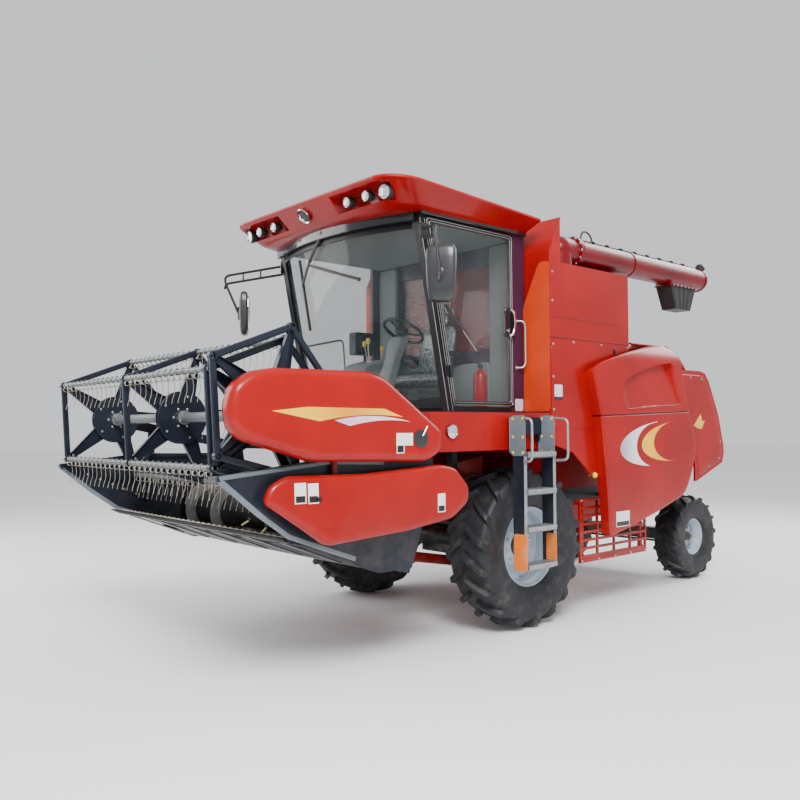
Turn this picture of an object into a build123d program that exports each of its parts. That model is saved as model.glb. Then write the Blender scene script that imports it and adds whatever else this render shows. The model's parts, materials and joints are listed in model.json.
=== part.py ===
from build123d import *
import math
import os

# Combine harvester on wheels, header raised and unloading tube folded back
# X points to the machine's left, Y to its rear and Z up, in millimetres
# The working origin lies on the ground under the front axle

# Clearances
seat_gap = 0.3        # pieces seated on each other
pin_gap = 0.5         # a pin in its eye, an axle stub at its hub
running_gap = 8       # pieces that move past each other

# Wheels: radii, widths and places
wheelbase = 2952
front_tyre_radius = 651
front_tyre_width = 390
front_rim_radius = 345
front_rim_width = 330
front_wheel_x = 969
front_lugs = 16
front_lug_height = 42
rear_tyre_radius = 438
rear_tyre_width = 280
rear_rim_radius = 215
rear_rim_width = 230
rear_wheel_x = 800
rear_lugs = 14
rear_lug_height = 24
axle_stub_radius = 45
kingpin_x = 620
steering_arm = 150
tie_pin_radius = 10
axle_pivot_z = 540
axle_pivot_radius = 30
axle_pivot_half = 74

# Chassis
rail_x = 560
rail_width = 80
rail_bottom = 900
rail_height = 140
rail_front = -350
rail_rear = wheelbase + 118
axle_tube_radius = 80
hitch_pin_y = rail_rear + 42
hitch_hole_radius = 16.5
hitch_half_width = 60
hitch_thickness = 30
hitch_z = 955

# Threshing body, grain tank and hoods
body_half_width = 700
trunk_half_width = rail_x - rail_width / 2
body_top = 1700
tank_half_width = 1198
tank_front = 187
tank_rear = 1330
tank_top = 2990
tank_hood_top = tank_top + 380
tank_hood_depth = 150
tank_wall = 20
tank_side_low = body_top + 280
panel_x = tank_half_width + 102
panel_wall = 20
panel_hinge_z = 2380
hood_half_width = tank_half_width - 48
rear_hood_half_width = tank_half_width + 4
panel_hinge_x = hood_half_width + 15
hood_wall = 20

# Cab and its platform
cab_half_width = 940
cab_rear = 180
cab_floor = 1730
cab_ceiling = 3235
cab_wall = 30
cab_front_low = -736
cab_front_high = -1036
windshield_bulge = 190
platform_front = -1170
platform_bottom = 1440
platform_side = tank_half_width + 2
roof_lip_z = cab_ceiling + 17
roof_edge_z = cab_ceiling + 185
roof_top_z = cab_ceiling + 215
roof_half_width = 1140
roof_front = -1450
roof_fall = 86
glass_thickness = 8
rear_window_low = cab_floor + 570
rear_window_high = cab_ceiling - 185

# Unloading tube
unloader_x = tank_half_width - 138
unloader_y = 500
unloader_z = tank_top + 150
unloader_radius = 115
unloader_length = 2320
spout_from = 1610
spout_length = 560
unloader_seat_z = tank_top - 300

# Header, in its own frame: v to the rear and w up from the skid's lowest line
header_tilt = 20
header_y = -1814
header_z = 705
header_half_width = 1289
lift_pivot_y = 100
lift_pivot_z = 1150
feeder_half_width = 500
feeder_shaft_radius = 35
auger_v = 0
auger_w = 290
auger_radius = 240
auger_drum_radius = 150
auger_shaft_radius = 25
trough_radius = 280
sheet = 6
knife_v = -600
end_sheet_x = 1272
header_back_v = 286

# Reel
reel_y = -2471
reel_z = 1699
reel_radius = 487
reel_phase = 3.2
reel_half_length = 1200
reel_shaft_radius = 35
reel_disc_radius = 180
tine_bar_radius = 16
tine_length = 190
tines_per_bay = 14
crank_offset = 70
reel_pivot_y = -1325
reel_pivot_z = 1470
reel_pivot_radius = 30
reel_arm_x = 1318


def box(x0, x1, y0, y1, z0, z1):
    centre = Pos((x0 + x1) / 2, (y0 + y1) / 2, (z0 + z1) / 2)
    return centre * Box(abs(x1 - x0), abs(y1 - y0), abs(z1 - z0))


def side_plate(points, x0, x1):
    # A flat outline of (y, z) points carried from x0 to x1
    outline = make_face(Polyline(*points, close=True))
    plate = extrude(Plane.YZ.offset(min(x0, x1)) * outline, amount=abs(x1 - x0))
    return plate


def front_plate(points, y0, y1):
    # A flat outline of (x, z) points carried from y0 to y1
    outline = make_face(Polyline(*points, close=True))
    return extrude(Plane.XZ.offset(-max(y0, y1)) * outline, amount=abs(y1 - y0))


def rod(start, end, radius):
    start, end = Vector(*start), Vector(*end)
    middle = Plane(origin=(start + end) / 2, z_dir=end - start)
    return middle * Cylinder(radius, (end - start).length)


def bar(start, end, width, depth):
    # A rectangular bar between two points, its width measured along X
    start, end = Vector(*start), Vector(*end)
    along = end - start
    middle = Plane(origin=(start + end) / 2, x_dir=(1, 0, 0), z_dir=along)
    return middle * Box(width, depth, along.length)


def cross_rod(x0, x1, y, z, radius):
    return rod((min(x0, x1), y, z), (max(x0, x1), y, z), radius)


def both_sides(piece):
    return piece + mirror(piece, about=Plane.YZ)


def joined(pieces):
    return Part() + list(pieces)


def apart(pieces):
    # Solids that share a node and don't touch
    return Compound([solid for piece in pieces for solid in piece.solids()])


# Wheels

def tyre(radius, width, rim_radius, rim_width, lugs, lug_height):
    # Turned carcass on the wheel's own axis along X, with slanted drive lugs
    carcass = radius - lug_height
    bead = rim_radius - 35 + seat_gap
    half, bead_half = width / 2, rim_width / 2 - 27
    shoulder = carcass - 0.05 * radius
    bulge = bead + 0.5 * (carcass - bead)
    section = [
        (-bead_half, bead), (-half, bulge), (-0.86 * half, shoulder),
        (0, carcass), (0.86 * half, shoulder), (half, bulge), (bead_half, bead),
    ]
    face = make_face(Polyline(*section, close=True))
    body = revolve(face, axis=Axis.X)
    step = 360 / lugs
    bars = []
    for side in (-1, 1):
        for index in range(lugs):
            angle = index * step + (step / 2 if side > 0 else 0)
            inner = lug_section(side * 0.02 * width, angle, shoulder - 14, radius, 34)
            outer = lug_section(side * 0.97 * half, angle + 0.9 * step, bulge + 20, radius - 16, 46)
            bars.append(loft([inner, outer], ruled=True))
    return body + bars


def lug_section(x, angle, low, high, thickness):
    # A lug's cross-section at a place along the tyre's width
    turn = math.radians(angle)
    radial = Vector(0, math.cos(turn), math.sin(turn))
    tangent = Vector(0, -math.sin(turn), math.cos(turn))
    corners = []
    for reach, side in ((low, -0.62), (low, 0.62), (high, 0.5), (high, -0.5)):
        place = radial * reach + tangent * side * thickness
        corners.append((x, place.Y, place.Z))
    return make_face(Polyline(*corners, close=True))


def rim(radius, width, dish, hub_radius):
    # Barrel with two flanges and a dished disc, the outer face towards +X
    half = width / 2
    barrel = [
        (-half, radius), (-half + 10, radius), (-half + 16, radius - 35), (half - 16, radius - 35),
        (half - 10, radius), (half, radius), (half - 8, radius - 45), (-half + 8, radius - 45),
    ]
    disc = [
        (dish - 6, 0), (dish - 6, radius * 0.55), (dish - 30, radius - 40),
        (dish - 18, radius - 40), (dish + 6, radius * 0.55 + 8), (dish + 6, hub_radius),
        (dish + 46, hub_radius * 0.8), (dish + 46, 0),
    ]
    wheel = revolve(make_face(Polyline(*barrel, close=True)), axis=Axis.X)
    wheel += revolve(make_face(Polyline(*disc, close=True)), axis=Axis.X)
    return wheel


def placed_wheel(piece, x, y, z):
    # The same wheel on either side, its outer face outwards
    turned = piece if x > 0 else mirror(piece, about=Plane.YZ)
    return Pos(x, y, z) * turned


front_dish = 25
rear_dish = 20
front_hub_radius = 95
rear_hub_radius = 62


def wheels():
    nodes = {}
    front_tyre = tyre(front_tyre_radius, front_tyre_width, front_rim_radius, front_rim_width,
                      front_lugs, front_lug_height)
    front_rim = rim(front_rim_radius, front_rim_width, front_dish, front_hub_radius)
    rear_tyre = tyre(rear_tyre_radius, rear_tyre_width, rear_rim_radius, rear_rim_width,
                     rear_lugs, rear_lug_height)
    rear_rim = rim(rear_rim_radius, rear_rim_width, rear_dish, rear_hub_radius)
    for side, sign in (("left", 1), ("right", -1)):
        front = (sign * front_wheel_x, 0, front_tyre_radius)
        rear = (sign * rear_wheel_x, wheelbase, rear_tyre_radius)
        nodes[f"front_tyre_{side}"] = placed_wheel(front_tyre, *front)
        nodes[f"front_rim_{side}"] = placed_wheel(front_rim, *front)
        nodes[f"rear_tyre_{side}"] = placed_wheel(rear_tyre, *rear)
        nodes[f"rear_rim_{side}"] = placed_wheel(rear_rim, *rear)
    return nodes


# Chassis and axles

def main_frame():
    rail_top = rail_bottom + rail_height
    rails = both_sides(box(rail_x - rail_width / 2, rail_x + rail_width / 2,
                           rail_front, rail_rear, rail_bottom, rail_top))
    members = [rails]
    inner = rail_x - rail_width / 2
    for side in (-1, 1):
        near = wheelbase + side * (axle_pivot_half + seat_gap)
        far = near + side * 24
        members.append(box(-inner, inner, near, far + side * 16, rail_bottom, rail_top))
        members.append(box(-70, 70, near, far, axle_pivot_z - 60, rail_top))
    members.append(rod((0, wheelbase - axle_pivot_half - 30, axle_pivot_z),
                       (0, wheelbase + axle_pivot_half + 30, axle_pivot_z), axle_pivot_radius))
    post = box(rail_x - 30, rail_x + 30, rail_front, rail_front + 60,
               rail_top, cab_floor - cab_wall - seat_gap)
    members.append(both_sides(post))
    hitch = box(-hitch_half_width, hitch_half_width, hitch_pin_y - 60, hitch_pin_y + 36, hitch_z, hitch_z + hitch_thickness)
    hitch -= Pos(0, hitch_pin_y, hitch_z + hitch_thickness / 2) * Cylinder(hitch_hole_radius, 2 * hitch_thickness)
    members.append(hitch)
    bearing = box(rail_x - 30, rail_x + 10, lift_pivot_y - 60, lift_pivot_y + 60, rail_top, lift_pivot_z + 60)
    bearing -= cross_rod(rail_x - 50, rail_x + 30, lift_pivot_y, lift_pivot_z, feeder_shaft_radius + pin_gap)
    members.append(both_sides(bearing))
    outrigger = [(rail_x - 20, rail_top), (rail_x + 20, rail_top), (rail_x + 20, 1240),
                 (rear_hood_half_width - hood_wall - seat_gap, 1240),
                 (rear_hood_half_width - hood_wall - seat_gap, 1280),
                 (rail_x - 20, 1280)]
    members.append(both_sides(front_plate(outrigger, 2600, 2640)))
    return joined(members)


def front_axle():
    # Drive axle: a round beam, a gearbox behind it and a final drive at each end
    z = front_tyre_radius
    stub_end = front_wheel_x + front_dish - 6 - pin_gap
    pieces = [
        cross_rod(-690, 690, 0, z, axle_tube_radius),
        box(-230, 230, 60, 420, z - 170, z + 120),
        both_sides(cross_rod(680, 760, 0, z, 150)),
        both_sides(cross_rod(750, stub_end, 0, z, axle_stub_radius)),
        both_sides(cross_rod(stub_end - 40, stub_end, 0, z, front_hub_radius)),
        both_sides(box(rail_x - 40, rail_x + 40, -70, 70, z, rail_bottom - seat_gap)),
        both_sides(box(lift_cylinder_x + lift_ear_gap, lift_cylinder_x + lift_ear_gap + 16, -160, 40, 430, z)),
        both_sides(box(lift_cylinder_x - lift_ear_gap - 16, lift_cylinder_x - lift_ear_gap, -160, 40, 430, z)),
        both_sides(cross_rod(lift_cylinder_x - lift_ear_gap - 16, lift_cylinder_x + lift_ear_gap + 16, *lift_base, lift_pin_radius)),
    ]
    return joined(pieces)


def rear_axle():
    # Steering axle: a beam that hangs on its middle pivot, with an eye for each kingpin
    z = rear_tyre_radius
    eye = Pos(kingpin_x, wheelbase, z) * Cylinder(48, 130)
    eye -= Pos(kingpin_x, wheelbase, z) * Cylinder(20 + pin_gap, 140)
    beam = box(-kingpin_x + 40, kingpin_x - 40, wheelbase - 60, wheelbase + 60, z - 60, z + 60)
    boss = box(-62, 62, wheelbase - axle_pivot_half, wheelbase + axle_pivot_half, z, axle_pivot_z + 62)
    boss -= rod((0, wheelbase - 100, axle_pivot_z), (0, wheelbase + 100, axle_pivot_z), axle_pivot_radius + pin_gap)
    return joined([beam, both_sides(eye), boss])


def knuckle(sign):
    # Fork round the axle eye, kingpin, wheel stub and steering arm
    z = rear_tyre_radius
    x = sign * kingpin_x
    stub_end = sign * (rear_wheel_x + rear_dish - 6 - pin_gap)
    low, high = z - 65 - pin_gap, z + 65 + pin_gap
    pieces = [
        Pos(x, wheelbase, z) * Cylinder(20, 190),
        box(x - 36, x + 36, wheelbase - 36, wheelbase + 36, high, high + 26),
        box(x - 36, x + 36, wheelbase - 36, wheelbase + 36, low - 26, low),
        box(x + sign * 52, x + sign * 80, wheelbase - 36, wheelbase + 36, low - 26, high + 26),
        box(x, x + sign * 60, wheelbase - 36, wheelbase + 36, high, high + 26),
        box(x, x + sign * 60, wheelbase - 36, wheelbase + 36, low - 26, low),
        cross_rod(x + sign * 70, stub_end, wheelbase, z, 32),
        cross_rod(stub_end - sign * 24, stub_end, wheelbase, z, rear_hub_radius),
        box(x - 18, x + 18, wheelbase, wheelbase + steering_arm + 22, low - 26, low - 2),
    ]
    pin_hole = Pos(x, wheelbase + steering_arm, low) * Cylinder(tie_pin_radius + pin_gap, 80)
    return joined(pieces) - pin_hole


def tie_rod():
    z = rear_tyre_radius - 65 - pin_gap - 26
    y = wheelbase + steering_arm
    ends = both_sides(Pos(kingpin_x, y, z - 16 - pin_gap) * Cylinder(22, 30))
    ends += both_sides(Pos(kingpin_x, y, z + 2) * Cylinder(tie_pin_radius, 40))
    return joined([cross_rod(-kingpin_x, kingpin_x, y, z - 16 - pin_gap, 13), ends])


# Threshing body

def thresher_body():
    # Upper trunk on the rails and a narrower lower one between them
    rail_top = rail_bottom + rail_height + seat_gap
    upper = [
        (lift_pivot_y + 260, rail_top), (2500, rail_top), (2560, 1500),
        (2400, body_top), (lift_pivot_y + 90, body_top), (lift_pivot_y + 90, 1470),
        (lift_pivot_y + 260, 1300),
    ]
    lower = [
        (460, rail_top), (2240, rail_top), (2240, rail_bottom), (1900, 760),
        (1200, 600), (620, 600), (460, 760),
    ]
    pieces = [
        side_plate(upper, -body_half_width, body_half_width),
        side_plate(lower, -trunk_half_width + seat_gap, trunk_half_width - seat_gap),
    ]
    return joined(pieces)


def lower_guard():
    # Pressed grille of long slots over the cleaning fan and elevator feet, one on each side
    outer, thick = tank_half_width - 108, 18
    y0, y1, z0, z1 = 705, 1745, 430, 985
    foot, web = 62, 22
    columns, rows = 4, 7
    panel = box(outer - thick, outer, y0, y1, z0, z1)
    cell_y = (y1 - y0 - web) / columns
    cell_z = (z1 - z0 - foot) / rows
    for column in range(columns):
        for row in range(rows):
            y = y0 + web + column * cell_y
            z = z0 + foot + row * cell_z
            panel -= box(outer - 2 * thick, outer + thick, y, y + cell_y - web, z, z + cell_z - web)
    arms = []
    for y in (y0 + 40, y1 - 80):
        arms.append(box(rail_x + rail_width / 2 + seat_gap, outer - thick, y, y + 40, 930, 960))
        arms.append(box(outer - thick - 30, outer - thick, y, y + 40, z0 + 20, 960))
    return both_sides(joined([panel] + arms))


def grain_tank():
    # Open-topped hopper with a raised front lip and side sheets that run down behind the wheels
    section = [
        (-tank_half_width, tank_top), (-tank_half_width, tank_side_low), (-body_half_width, body_top + seat_gap),
        (body_half_width, body_top + seat_gap), (tank_half_width, tank_side_low), (tank_half_width, tank_top),
    ]
    inset = tank_wall
    hollow = [
        (-tank_half_width + inset, tank_top + 10), (-tank_half_width + inset, tank_side_low + 10),
        (-body_half_width, body_top + 30), (body_half_width, body_top + 30),
        (tank_half_width - inset, tank_side_low + 10), (tank_half_width - inset, tank_top + 10),
    ]
    tank = front_plate(section, tank_front, tank_rear)
    tank -= front_plate(hollow, tank_front + inset, tank_rear - inset)
    lip = [
        (tank_front, tank_top - 10), (tank_front, tank_top + 80),
        (tank_front + tank_hood_depth, tank_hood_top), (tank_front + tank_hood_depth + 12, tank_hood_top),
        (tank_front + inset, tank_top + 70), (tank_front + inset, tank_top - 10),
    ]
    gusset = [
        (tank_front, tank_top - 10), (tank_front, tank_top + 80),
        (tank_front + tank_hood_depth, tank_hood_top), (tank_front + tank_hood_depth, tank_top - 10),
    ]
    skirt = [
        (tank_front, tank_side_low + 20), (tank_rear, tank_side_low + 20), (tank_rear, 1200), (760, 1180),
        (480, 1400), (tank_front, 1480),
    ]
    floor_rise = (tank_side_low - body_top) / (tank_half_width - body_half_width)
    floor_z = body_top + 10 + (unloader_x - body_half_width) * floor_rise
    socket = rod((unloader_x, unloader_y, floor_z), (unloader_x, unloader_y, unloader_seat_z), unloader_radius)
    pieces = [
        tank,
        socket,
        side_plate(lip, -tank_half_width, tank_half_width),
        both_sides(side_plate(gusset, tank_half_width - inset, tank_half_width)),
        both_sides(side_plate(skirt, tank_half_width - inset, tank_half_width)),
    ]
    return joined(pieces)


def engine_block():
    return box(-420, 420, 1400, 2030, body_top + seat_gap, 2260)


def engine_hood():
    # Bent deck between the side panels, from the tank's back wall to the rear hood
    outer = [
        (tank_rear + seat_gap, 2322), (1560, 2378), (2060, 2398), (2280, 2318), (2420, 2190),
    ]
    inner = [(2405, 2172), (2268, 2300), (2054, 2377), (1562, 2357), (tank_rear + seat_gap, 2301)]
    deck = side_plate(outer + inner, -hood_half_width + 8, hood_half_width - 8)
    hinges = []
    for y in (1560, 1900):
        hinges.append(box(hood_half_width - 60, panel_hinge_x, y - 30, y + 30, panel_hinge_z - 12, panel_hinge_z + 4))
        hinges.append(box(hood_half_width - 60, hood_half_width - 10, y - 30, y + 30, panel_hinge_z, panel_hinge_z + 16))
    hinges.append(rod((panel_hinge_x, 1400, panel_hinge_z), (panel_hinge_x, 1980, panel_hinge_z), 12))
    return joined([deck, both_sides(joined(hinges))])


def rear_hood():
    # Straw hood, open below and at the back of its floor
    half = rear_hood_half_width
    top = 2172 - seat_gap
    outer = [
        (2060, top), (2600, top), (2700, 2150), (2775, 2070), (2960, 1735), (3060, 1420), (3068, 1340),
        (3030, 1236), (2500, 1062), (2470, 1062), (2470, 1250), (2330, 1380),
    ]
    inner = [
        (2000, 2150), (2592, 2150), (2686, 2130), (2758, 2058), (2942, 1726), (3040, 1416), (3046, 1344),
        (3010, 1230), (2470, 1000), (2300, 1000), (2000, 1380),
    ]
    floor_back = 2990
    shell = side_plate(outer, -half, half)
    shell -= side_plate(inner, -half + hood_wall, half - hood_wall)
    shell -= box(-half + hood_wall, half - hood_wall, 2200, floor_back, 900, 1232)
    return shell


def side_panel(sign):
    # Pressed outer panel with a bent top, a folded front flange and an arched recess
    outline = [
        (620, 2102), (738, 1704), (850, 960), (866, 668), (930, 672), (1221, 728), (1666, 831),
        (2130, 958), (2251, 1152), (2334, 1400), (2212, 1757), (2050, 2140), (1990, 2215), (970, 2215),
    ]
    skin = side_plate(outline, panel_x - panel_wall, panel_x)
    recess = [(1120, 1790), (1080, 1990), (1200, 2080), (1360, 2130), (1640, 2190), (1840, 2195), (1920, 2160),
              (2050, 1840), (1990, 1815)]
    skin -= side_plate(recess, panel_x - 8, panel_x + 5)
    flange = side_plate([(620, 2102), (738, 1704), (850, 960), (866, 668), (886, 668), (870, 960), (758, 1704),
                         (640, 2102)],
                        panel_x - 100, panel_x - panel_wall)
    edge_x = panel_hinge_x + 12 + pin_gap
    top = [(panel_x - panel_wall, 2215), (panel_x, 2215), (panel_x - 30, 2330), (edge_x + 30, 2392),
           (edge_x, 2392), (edge_x, 2368), (panel_x - 48, 2312)]
    crown = front_plate(top, tank_rear + running_gap, 1990)
    panel = joined([skin, flange, crown])
    return panel if sign > 0 else mirror(panel, about=Plane.YZ)


# Cab

def cab_platform():
    # Floor and the deep red beam round it, with the walkway in front of the door
    deck = box(-cab_half_width - 20, platform_side, platform_front, cab_rear - 10, platform_bottom, cab_floor)
    under = box(-cab_half_width + 10, platform_side - 30, platform_front + 30, cab_rear + 10,
                platform_bottom - 10, cab_floor - cab_wall)
    return deck - under


def lean_y(z, z0=None, z1=None):
    # The cab's slanted front line at a height
    share = (z - cab_floor) / (cab_ceiling - cab_floor)
    return cab_front_low + share * (cab_front_high - cab_front_low)


def cab_frame():
    # Slanted front pillars, rear pillars, top and bottom beams and the rear wall
    pillar = 60
    low, high = cab_floor + seat_gap, cab_ceiling
    a_pillar = side_plate([(lean_y(low), low), (lean_y(low) + pillar, low), (lean_y(high) + pillar, high),
                           (lean_y(high), high)], cab_half_width - pillar, cab_half_width)
    b_pillar = box(cab_half_width - 40, cab_half_width, 30, cab_rear - 5, low, high)
    sill = box(cab_half_width - pillar, cab_half_width, lean_y(low), 40, low, low + 50)
    header_rail = side_plate([(lean_y(high - 24), high - 24), (40, high - 24), (40, high), (lean_y(high), high)],
                             cab_half_width - pillar, cab_half_width)
    rear_wall = box(-cab_half_width, cab_half_width, cab_rear - cab_wall - 5, cab_rear - 5, low, high)
    rear_wall -= box(-600, 600, 100, 300, rear_window_low, rear_window_high)
    front_low = curved_front(low, cab_floor + 40, 40, 0)
    front_top = curved_front(high - 36, high, 40, 0)
    sides = both_sides(joined([a_pillar, b_pillar, sill, header_rail]))
    for z in door_hinge_heights:
        low = (door_hinge_x, lean_y(z - 40) + door_hinge_back, z - 40)
        high = (door_hinge_x, lean_y(z + 40) + door_hinge_back, z + 40)
        sides += rod(low, high, 8)
        low = (door_hinge_x - 6, lean_y(z - 40) + door_hinge_back - 24, z - 40)
        high = (door_hinge_x - 6, lean_y(z + 40) + door_hinge_back - 24, z + 40)
        sides += bar(low, high, 16, 40)
    return joined([sides, rear_wall, front_low, front_top])


def arc_strip(z, thickness, inset, half_width):
    # Plan of the bowed front at a height: two parallel arcs closed at their ends
    y = lean_y(z) + inset
    outer = ThreePointArc((-half_width, y, z), (0, y - windshield_bulge, z), (half_width, y, z))
    inner = ThreePointArc((-half_width, y + thickness, z), (0, y + thickness - windshield_bulge, z),
                          (half_width, y + thickness, z))
    left = Line(outer @ 0, inner @ 0)
    right = Line(outer @ 1, inner @ 1)
    return make_face([outer, inner, left, right])


def curved_front(z0, z1, thickness, inset, end_gap=0):
    half = cab_half_width - 60 - end_gap
    return loft([arc_strip(z0, thickness, inset, half), arc_strip(z1, thickness, inset, half)], ruled=True)


def cab_glass():
    # Bowed windscreen, fixed right window and the rear window to the tank
    screen = curved_front(cab_floor + 40 + seat_gap, cab_ceiling - 36 - seat_gap, glass_thickness, 12, seat_gap)
    z0, z1 = cab_floor + 50 + 2 * seat_gap, cab_ceiling - 24 - seat_gap
    x1 = -cab_half_width + 14
    front, back = 60 + seat_gap, 30 - seat_gap
    window = side_plate([(lean_y(z0) + front, z0), (back, z0), (back, z1), (lean_y(z1) + front, z1)],
                        x1, x1 + glass_thickness)
    rear = box(-600 + seat_gap, 600 - seat_gap, cab_rear - 26, cab_rear - 26 + glass_thickness,
               rear_window_low + seat_gap, rear_window_high - seat_gap)
    return apart([screen, window, rear])


def cab_roof():
    # Flared roof that falls to the rear: the visor opens from its lip to a wide edge under a low crown
    rear = cab_rear - 12

    def plan(half, front, z, fall, corner):
        points = [(half, rear), (half, front + corner), (half - 0.3 * corner, front + 0.3 * corner),
                  (half - corner, front), (corner - half, front), (0.3 * corner - half, front + 0.3 * corner),
                  (-half, front + corner), (-half, rear)]
        return make_face(Polyline(*[(x, y, z - fall * (y - front) / (rear - front)) for x, y in points], close=True))

    seat = plan(cab_half_width + 20, -1240, cab_ceiling + seat_gap, 0, 200)
    lip = plan(roof_half_width - 120, roof_front + 150, roof_lip_z, 0, 200)
    edge = plan(roof_half_width, roof_front, roof_edge_z, roof_fall, 150)
    crown = plan(roof_half_width - 60, roof_front + 80, roof_top_z, roof_fall, 130)
    roof = loft([seat, lip], ruled=True)
    roof += loft([lip, edge], ruled=True)
    roof += loft([edge, crown], ruled=True)
    for start, end, radius in lamp_axes():
        roof -= rod(start, end, radius + seat_gap)
    return roof


def lamp_axes():
    # Each work lamp's axis from inside the visor to its lens, with the lamp's radius
    axes = []
    for sign in (1, -1):
        for x, drop, radius in ((510, 88, 42), (738, 88, 42), (940, 92, 56)):
            z = roof_edge_z - drop
            face_y = roof_front + drop * 0.95
            axes.append(((sign * x, face_y + 60, z + 20), (sign * x, face_y - 24, z - 8), radius))
    return axes


def roof_lamps():
    # Three round work lamps at each front corner of the visor
    return apart([rod(*axis) for axis in lamp_axes()])


door_front_gap = 72
door_rear_y = 20
door_hinge_x = cab_half_width + 8
door_hinge_back = 64
door_hinge_heights = (cab_floor + 320, cab_ceiling - 385)


def door_outline(inset):
    low, high = cab_floor + 58 + inset, cab_ceiling - 30 - inset
    front_low = lean_y(low) + door_front_gap + inset
    front_high = lean_y(high) + door_front_gap + inset
    rear = door_rear_y - inset
    return [(front_low, low), (rear, low), (rear, high), (front_high, high)]


def cab_door():
    # Framed glass door with an outer handle at its rear edge
    frame = side_plate(door_outline(0), cab_half_width - 24, cab_half_width)
    frame -= side_plate(door_outline(26), cab_half_width - 60, cab_half_width + 60)
    for z in door_hinge_heights:
        low = (door_hinge_x, lean_y(z - 45) + door_hinge_back + 24, z - 45)
        high = (door_hinge_x, lean_y(z + 45) + door_hinge_back + 24, z + 45)
        frame += bar(low, high, 20, 30)
    handle = box(cab_half_width, cab_half_width + 30, door_rear_y - 36, door_rear_y - 4, 2340, 2560)
    glass = side_plate(door_outline(26 + seat_gap), cab_half_width - 16, cab_half_width - 16 + glass_thickness)
    return joined([frame, handle]), glass


def operator_seat():
    # Suspension box, cushion, backrest and armrests
    pieces = [
        box(-180, 180, -330, 20, cab_floor + seat_gap, 1960),
        box(-250, 250, -420, 60, 1960, 2080),
        side_plate([(-20, 2060), (60, 2060), (130, 2560), (70, 2580)], -230, 230),
        box(-170, 170, 60, 100, 2560, 2640),
    ]
    return joined(pieces)


def steering_console():
    # Column with the steering wheel, and the control box at the driver's right
    top = Vector(0, -560, 2330)
    tilt = Plane(origin=top, z_dir=(0, 0.5, 0.86))
    wheel = tilt * (Cylinder(196, 24) - Cylinder(172, 30))
    spokes = [tilt * Rot(0, 0, angle) * Pos(92, 0, 0) * Box(190, 22, 10) for angle in (90, 210, 330)]
    column = rod((0, -700, cab_floor + 10), tuple(top), 36)
    console = side_plate([(-640, cab_floor + seat_gap), (40, cab_floor + seat_gap), (40, 2230), (-300, 2250),
                          (-640, 2060)], -640, -330)
    foot = box(-90, 90, -720, -640, cab_floor + seat_gap, cab_floor + 60)
    return apart([joined([wheel, column, foot] + spokes), console])


def mirrors():
    # Two mirror heads on bent arms from the roof's front corners
    pieces = []
    for sign in (1, -1):
        pad_z = cab_ceiling - 120
        pad_y = lean_y(pad_z) + 30
        pad = box(sign * (cab_half_width + seat_gap), sign * (cab_half_width + 16), pad_y - 24, pad_y + 24,
                  pad_z - 30, pad_z + 30)
        root = (sign * (cab_half_width + 14), pad_y, pad_z)
        mirror_x, mirror_y = sign * (cab_half_width + 390), pad_y - 223
        knee = (mirror_x, mirror_y, pad_z - 110)
        lower = (mirror_x, mirror_y, pad_z - 420)
        arm = [rod(root, knee, 11), rod(knee, lower, 11)]
        turned = Pos(mirror_x, mirror_y + 30, 0) * Rot(0, 0, sign * 35)
        head = loft([Pos(0, 0, pad_z - 610) * turned * Rectangle(190, 80),
                     Pos(0, 0, pad_z - 240) * turned * Rectangle(240, 80)], ruled=True)
        ball = Pos(*knee) * Sphere(16)
        pieces.append(joined(arm + [pad, head, ball]))
    return apart(pieces)


def ladder():
    # Leaning steps between two rails, bolted to the platform, with handrails
    top = (platform_side + 45, 1690)
    low = (platform_side + 245, 530)
    pieces = []
    for y in (-330, 20):
        side = [(top[0] - 35, top[1]), (top[0] + 35, top[1]), (low[0] + 35, low[1]), (low[0] - 35, low[1])]
        pieces.append(front_plate(side, y - 6, y + 6))
    for z in (1410, 1125, 838, 551):
        share = (top[1] - z) / (top[1] - low[1])
        x = top[0] + share * (low[0] - top[0])
        pieces.append(box(x - 60, x + 90, -330, 20, z - 12, z + 12))
    pieces.append(box(platform_side + seat_gap, top[0] + 20, -340, 30, 1560, 1690))
    for y in (-380, 120):
        grip = [rod((platform_side + 30, y, 1500), (platform_side + 90, y, 1500), 13),
                rod((platform_side + 90, y, 1490), (platform_side + 90, y, 1700), 13),
                rod((platform_side + 30, y, 1690), (platform_side + 90, y, 1690), 13)]
        pieces += grip
        pieces.append(box(platform_side + seat_gap, platform_side + 34, y - 20, y + 20, 1480, 1710))
    return joined(pieces)


# Unloading tube

def unloading_tube():
    # Elbow over the tank's corner and the tube that lies along its top edge
    elbow = rod((unloader_x, unloader_y, unloader_seat_z + seat_gap), (unloader_x, unloader_y, unloader_z), unloader_radius - 5)
    knuckle_ball = Pos(unloader_x, unloader_y, unloader_z) * Sphere(unloader_radius)
    tube = rod((unloader_x, unloader_y, unloader_z), (unloader_x, unloader_y + unloader_length, unloader_z),
               unloader_radius)
    flange = rod((unloader_x, unloader_y + 150, unloader_z), (unloader_x, unloader_y + 175, unloader_z),
                 unloader_radius + 22)
    return joined([elbow, knuckle_ball, tube, flange])


def unloading_spout():
    # Rubber chute that hangs under the tube's end
    y = unloader_y + spout_from
    top_z = unloader_z - unloader_radius - seat_gap
    top = Pos(unloader_x, y + spout_length / 2, top_z) * Rectangle(190, spout_length)
    low = Pos(unloader_x, y + spout_length / 2 - 30, top_z - 210) * Rectangle(180, spout_length - 110)
    return loft([low, top], ruled=True)


# Header

header_place = Pos(0, header_y, header_z) * Rot(-header_tilt, 0, 0)


def header_point(x, v, w):
    tilt = math.radians(header_tilt)
    y = header_y + v * math.cos(tilt) + w * math.sin(tilt)
    z = header_z - v * math.sin(tilt) + w * math.cos(tilt)
    return (x, y, z)


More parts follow.
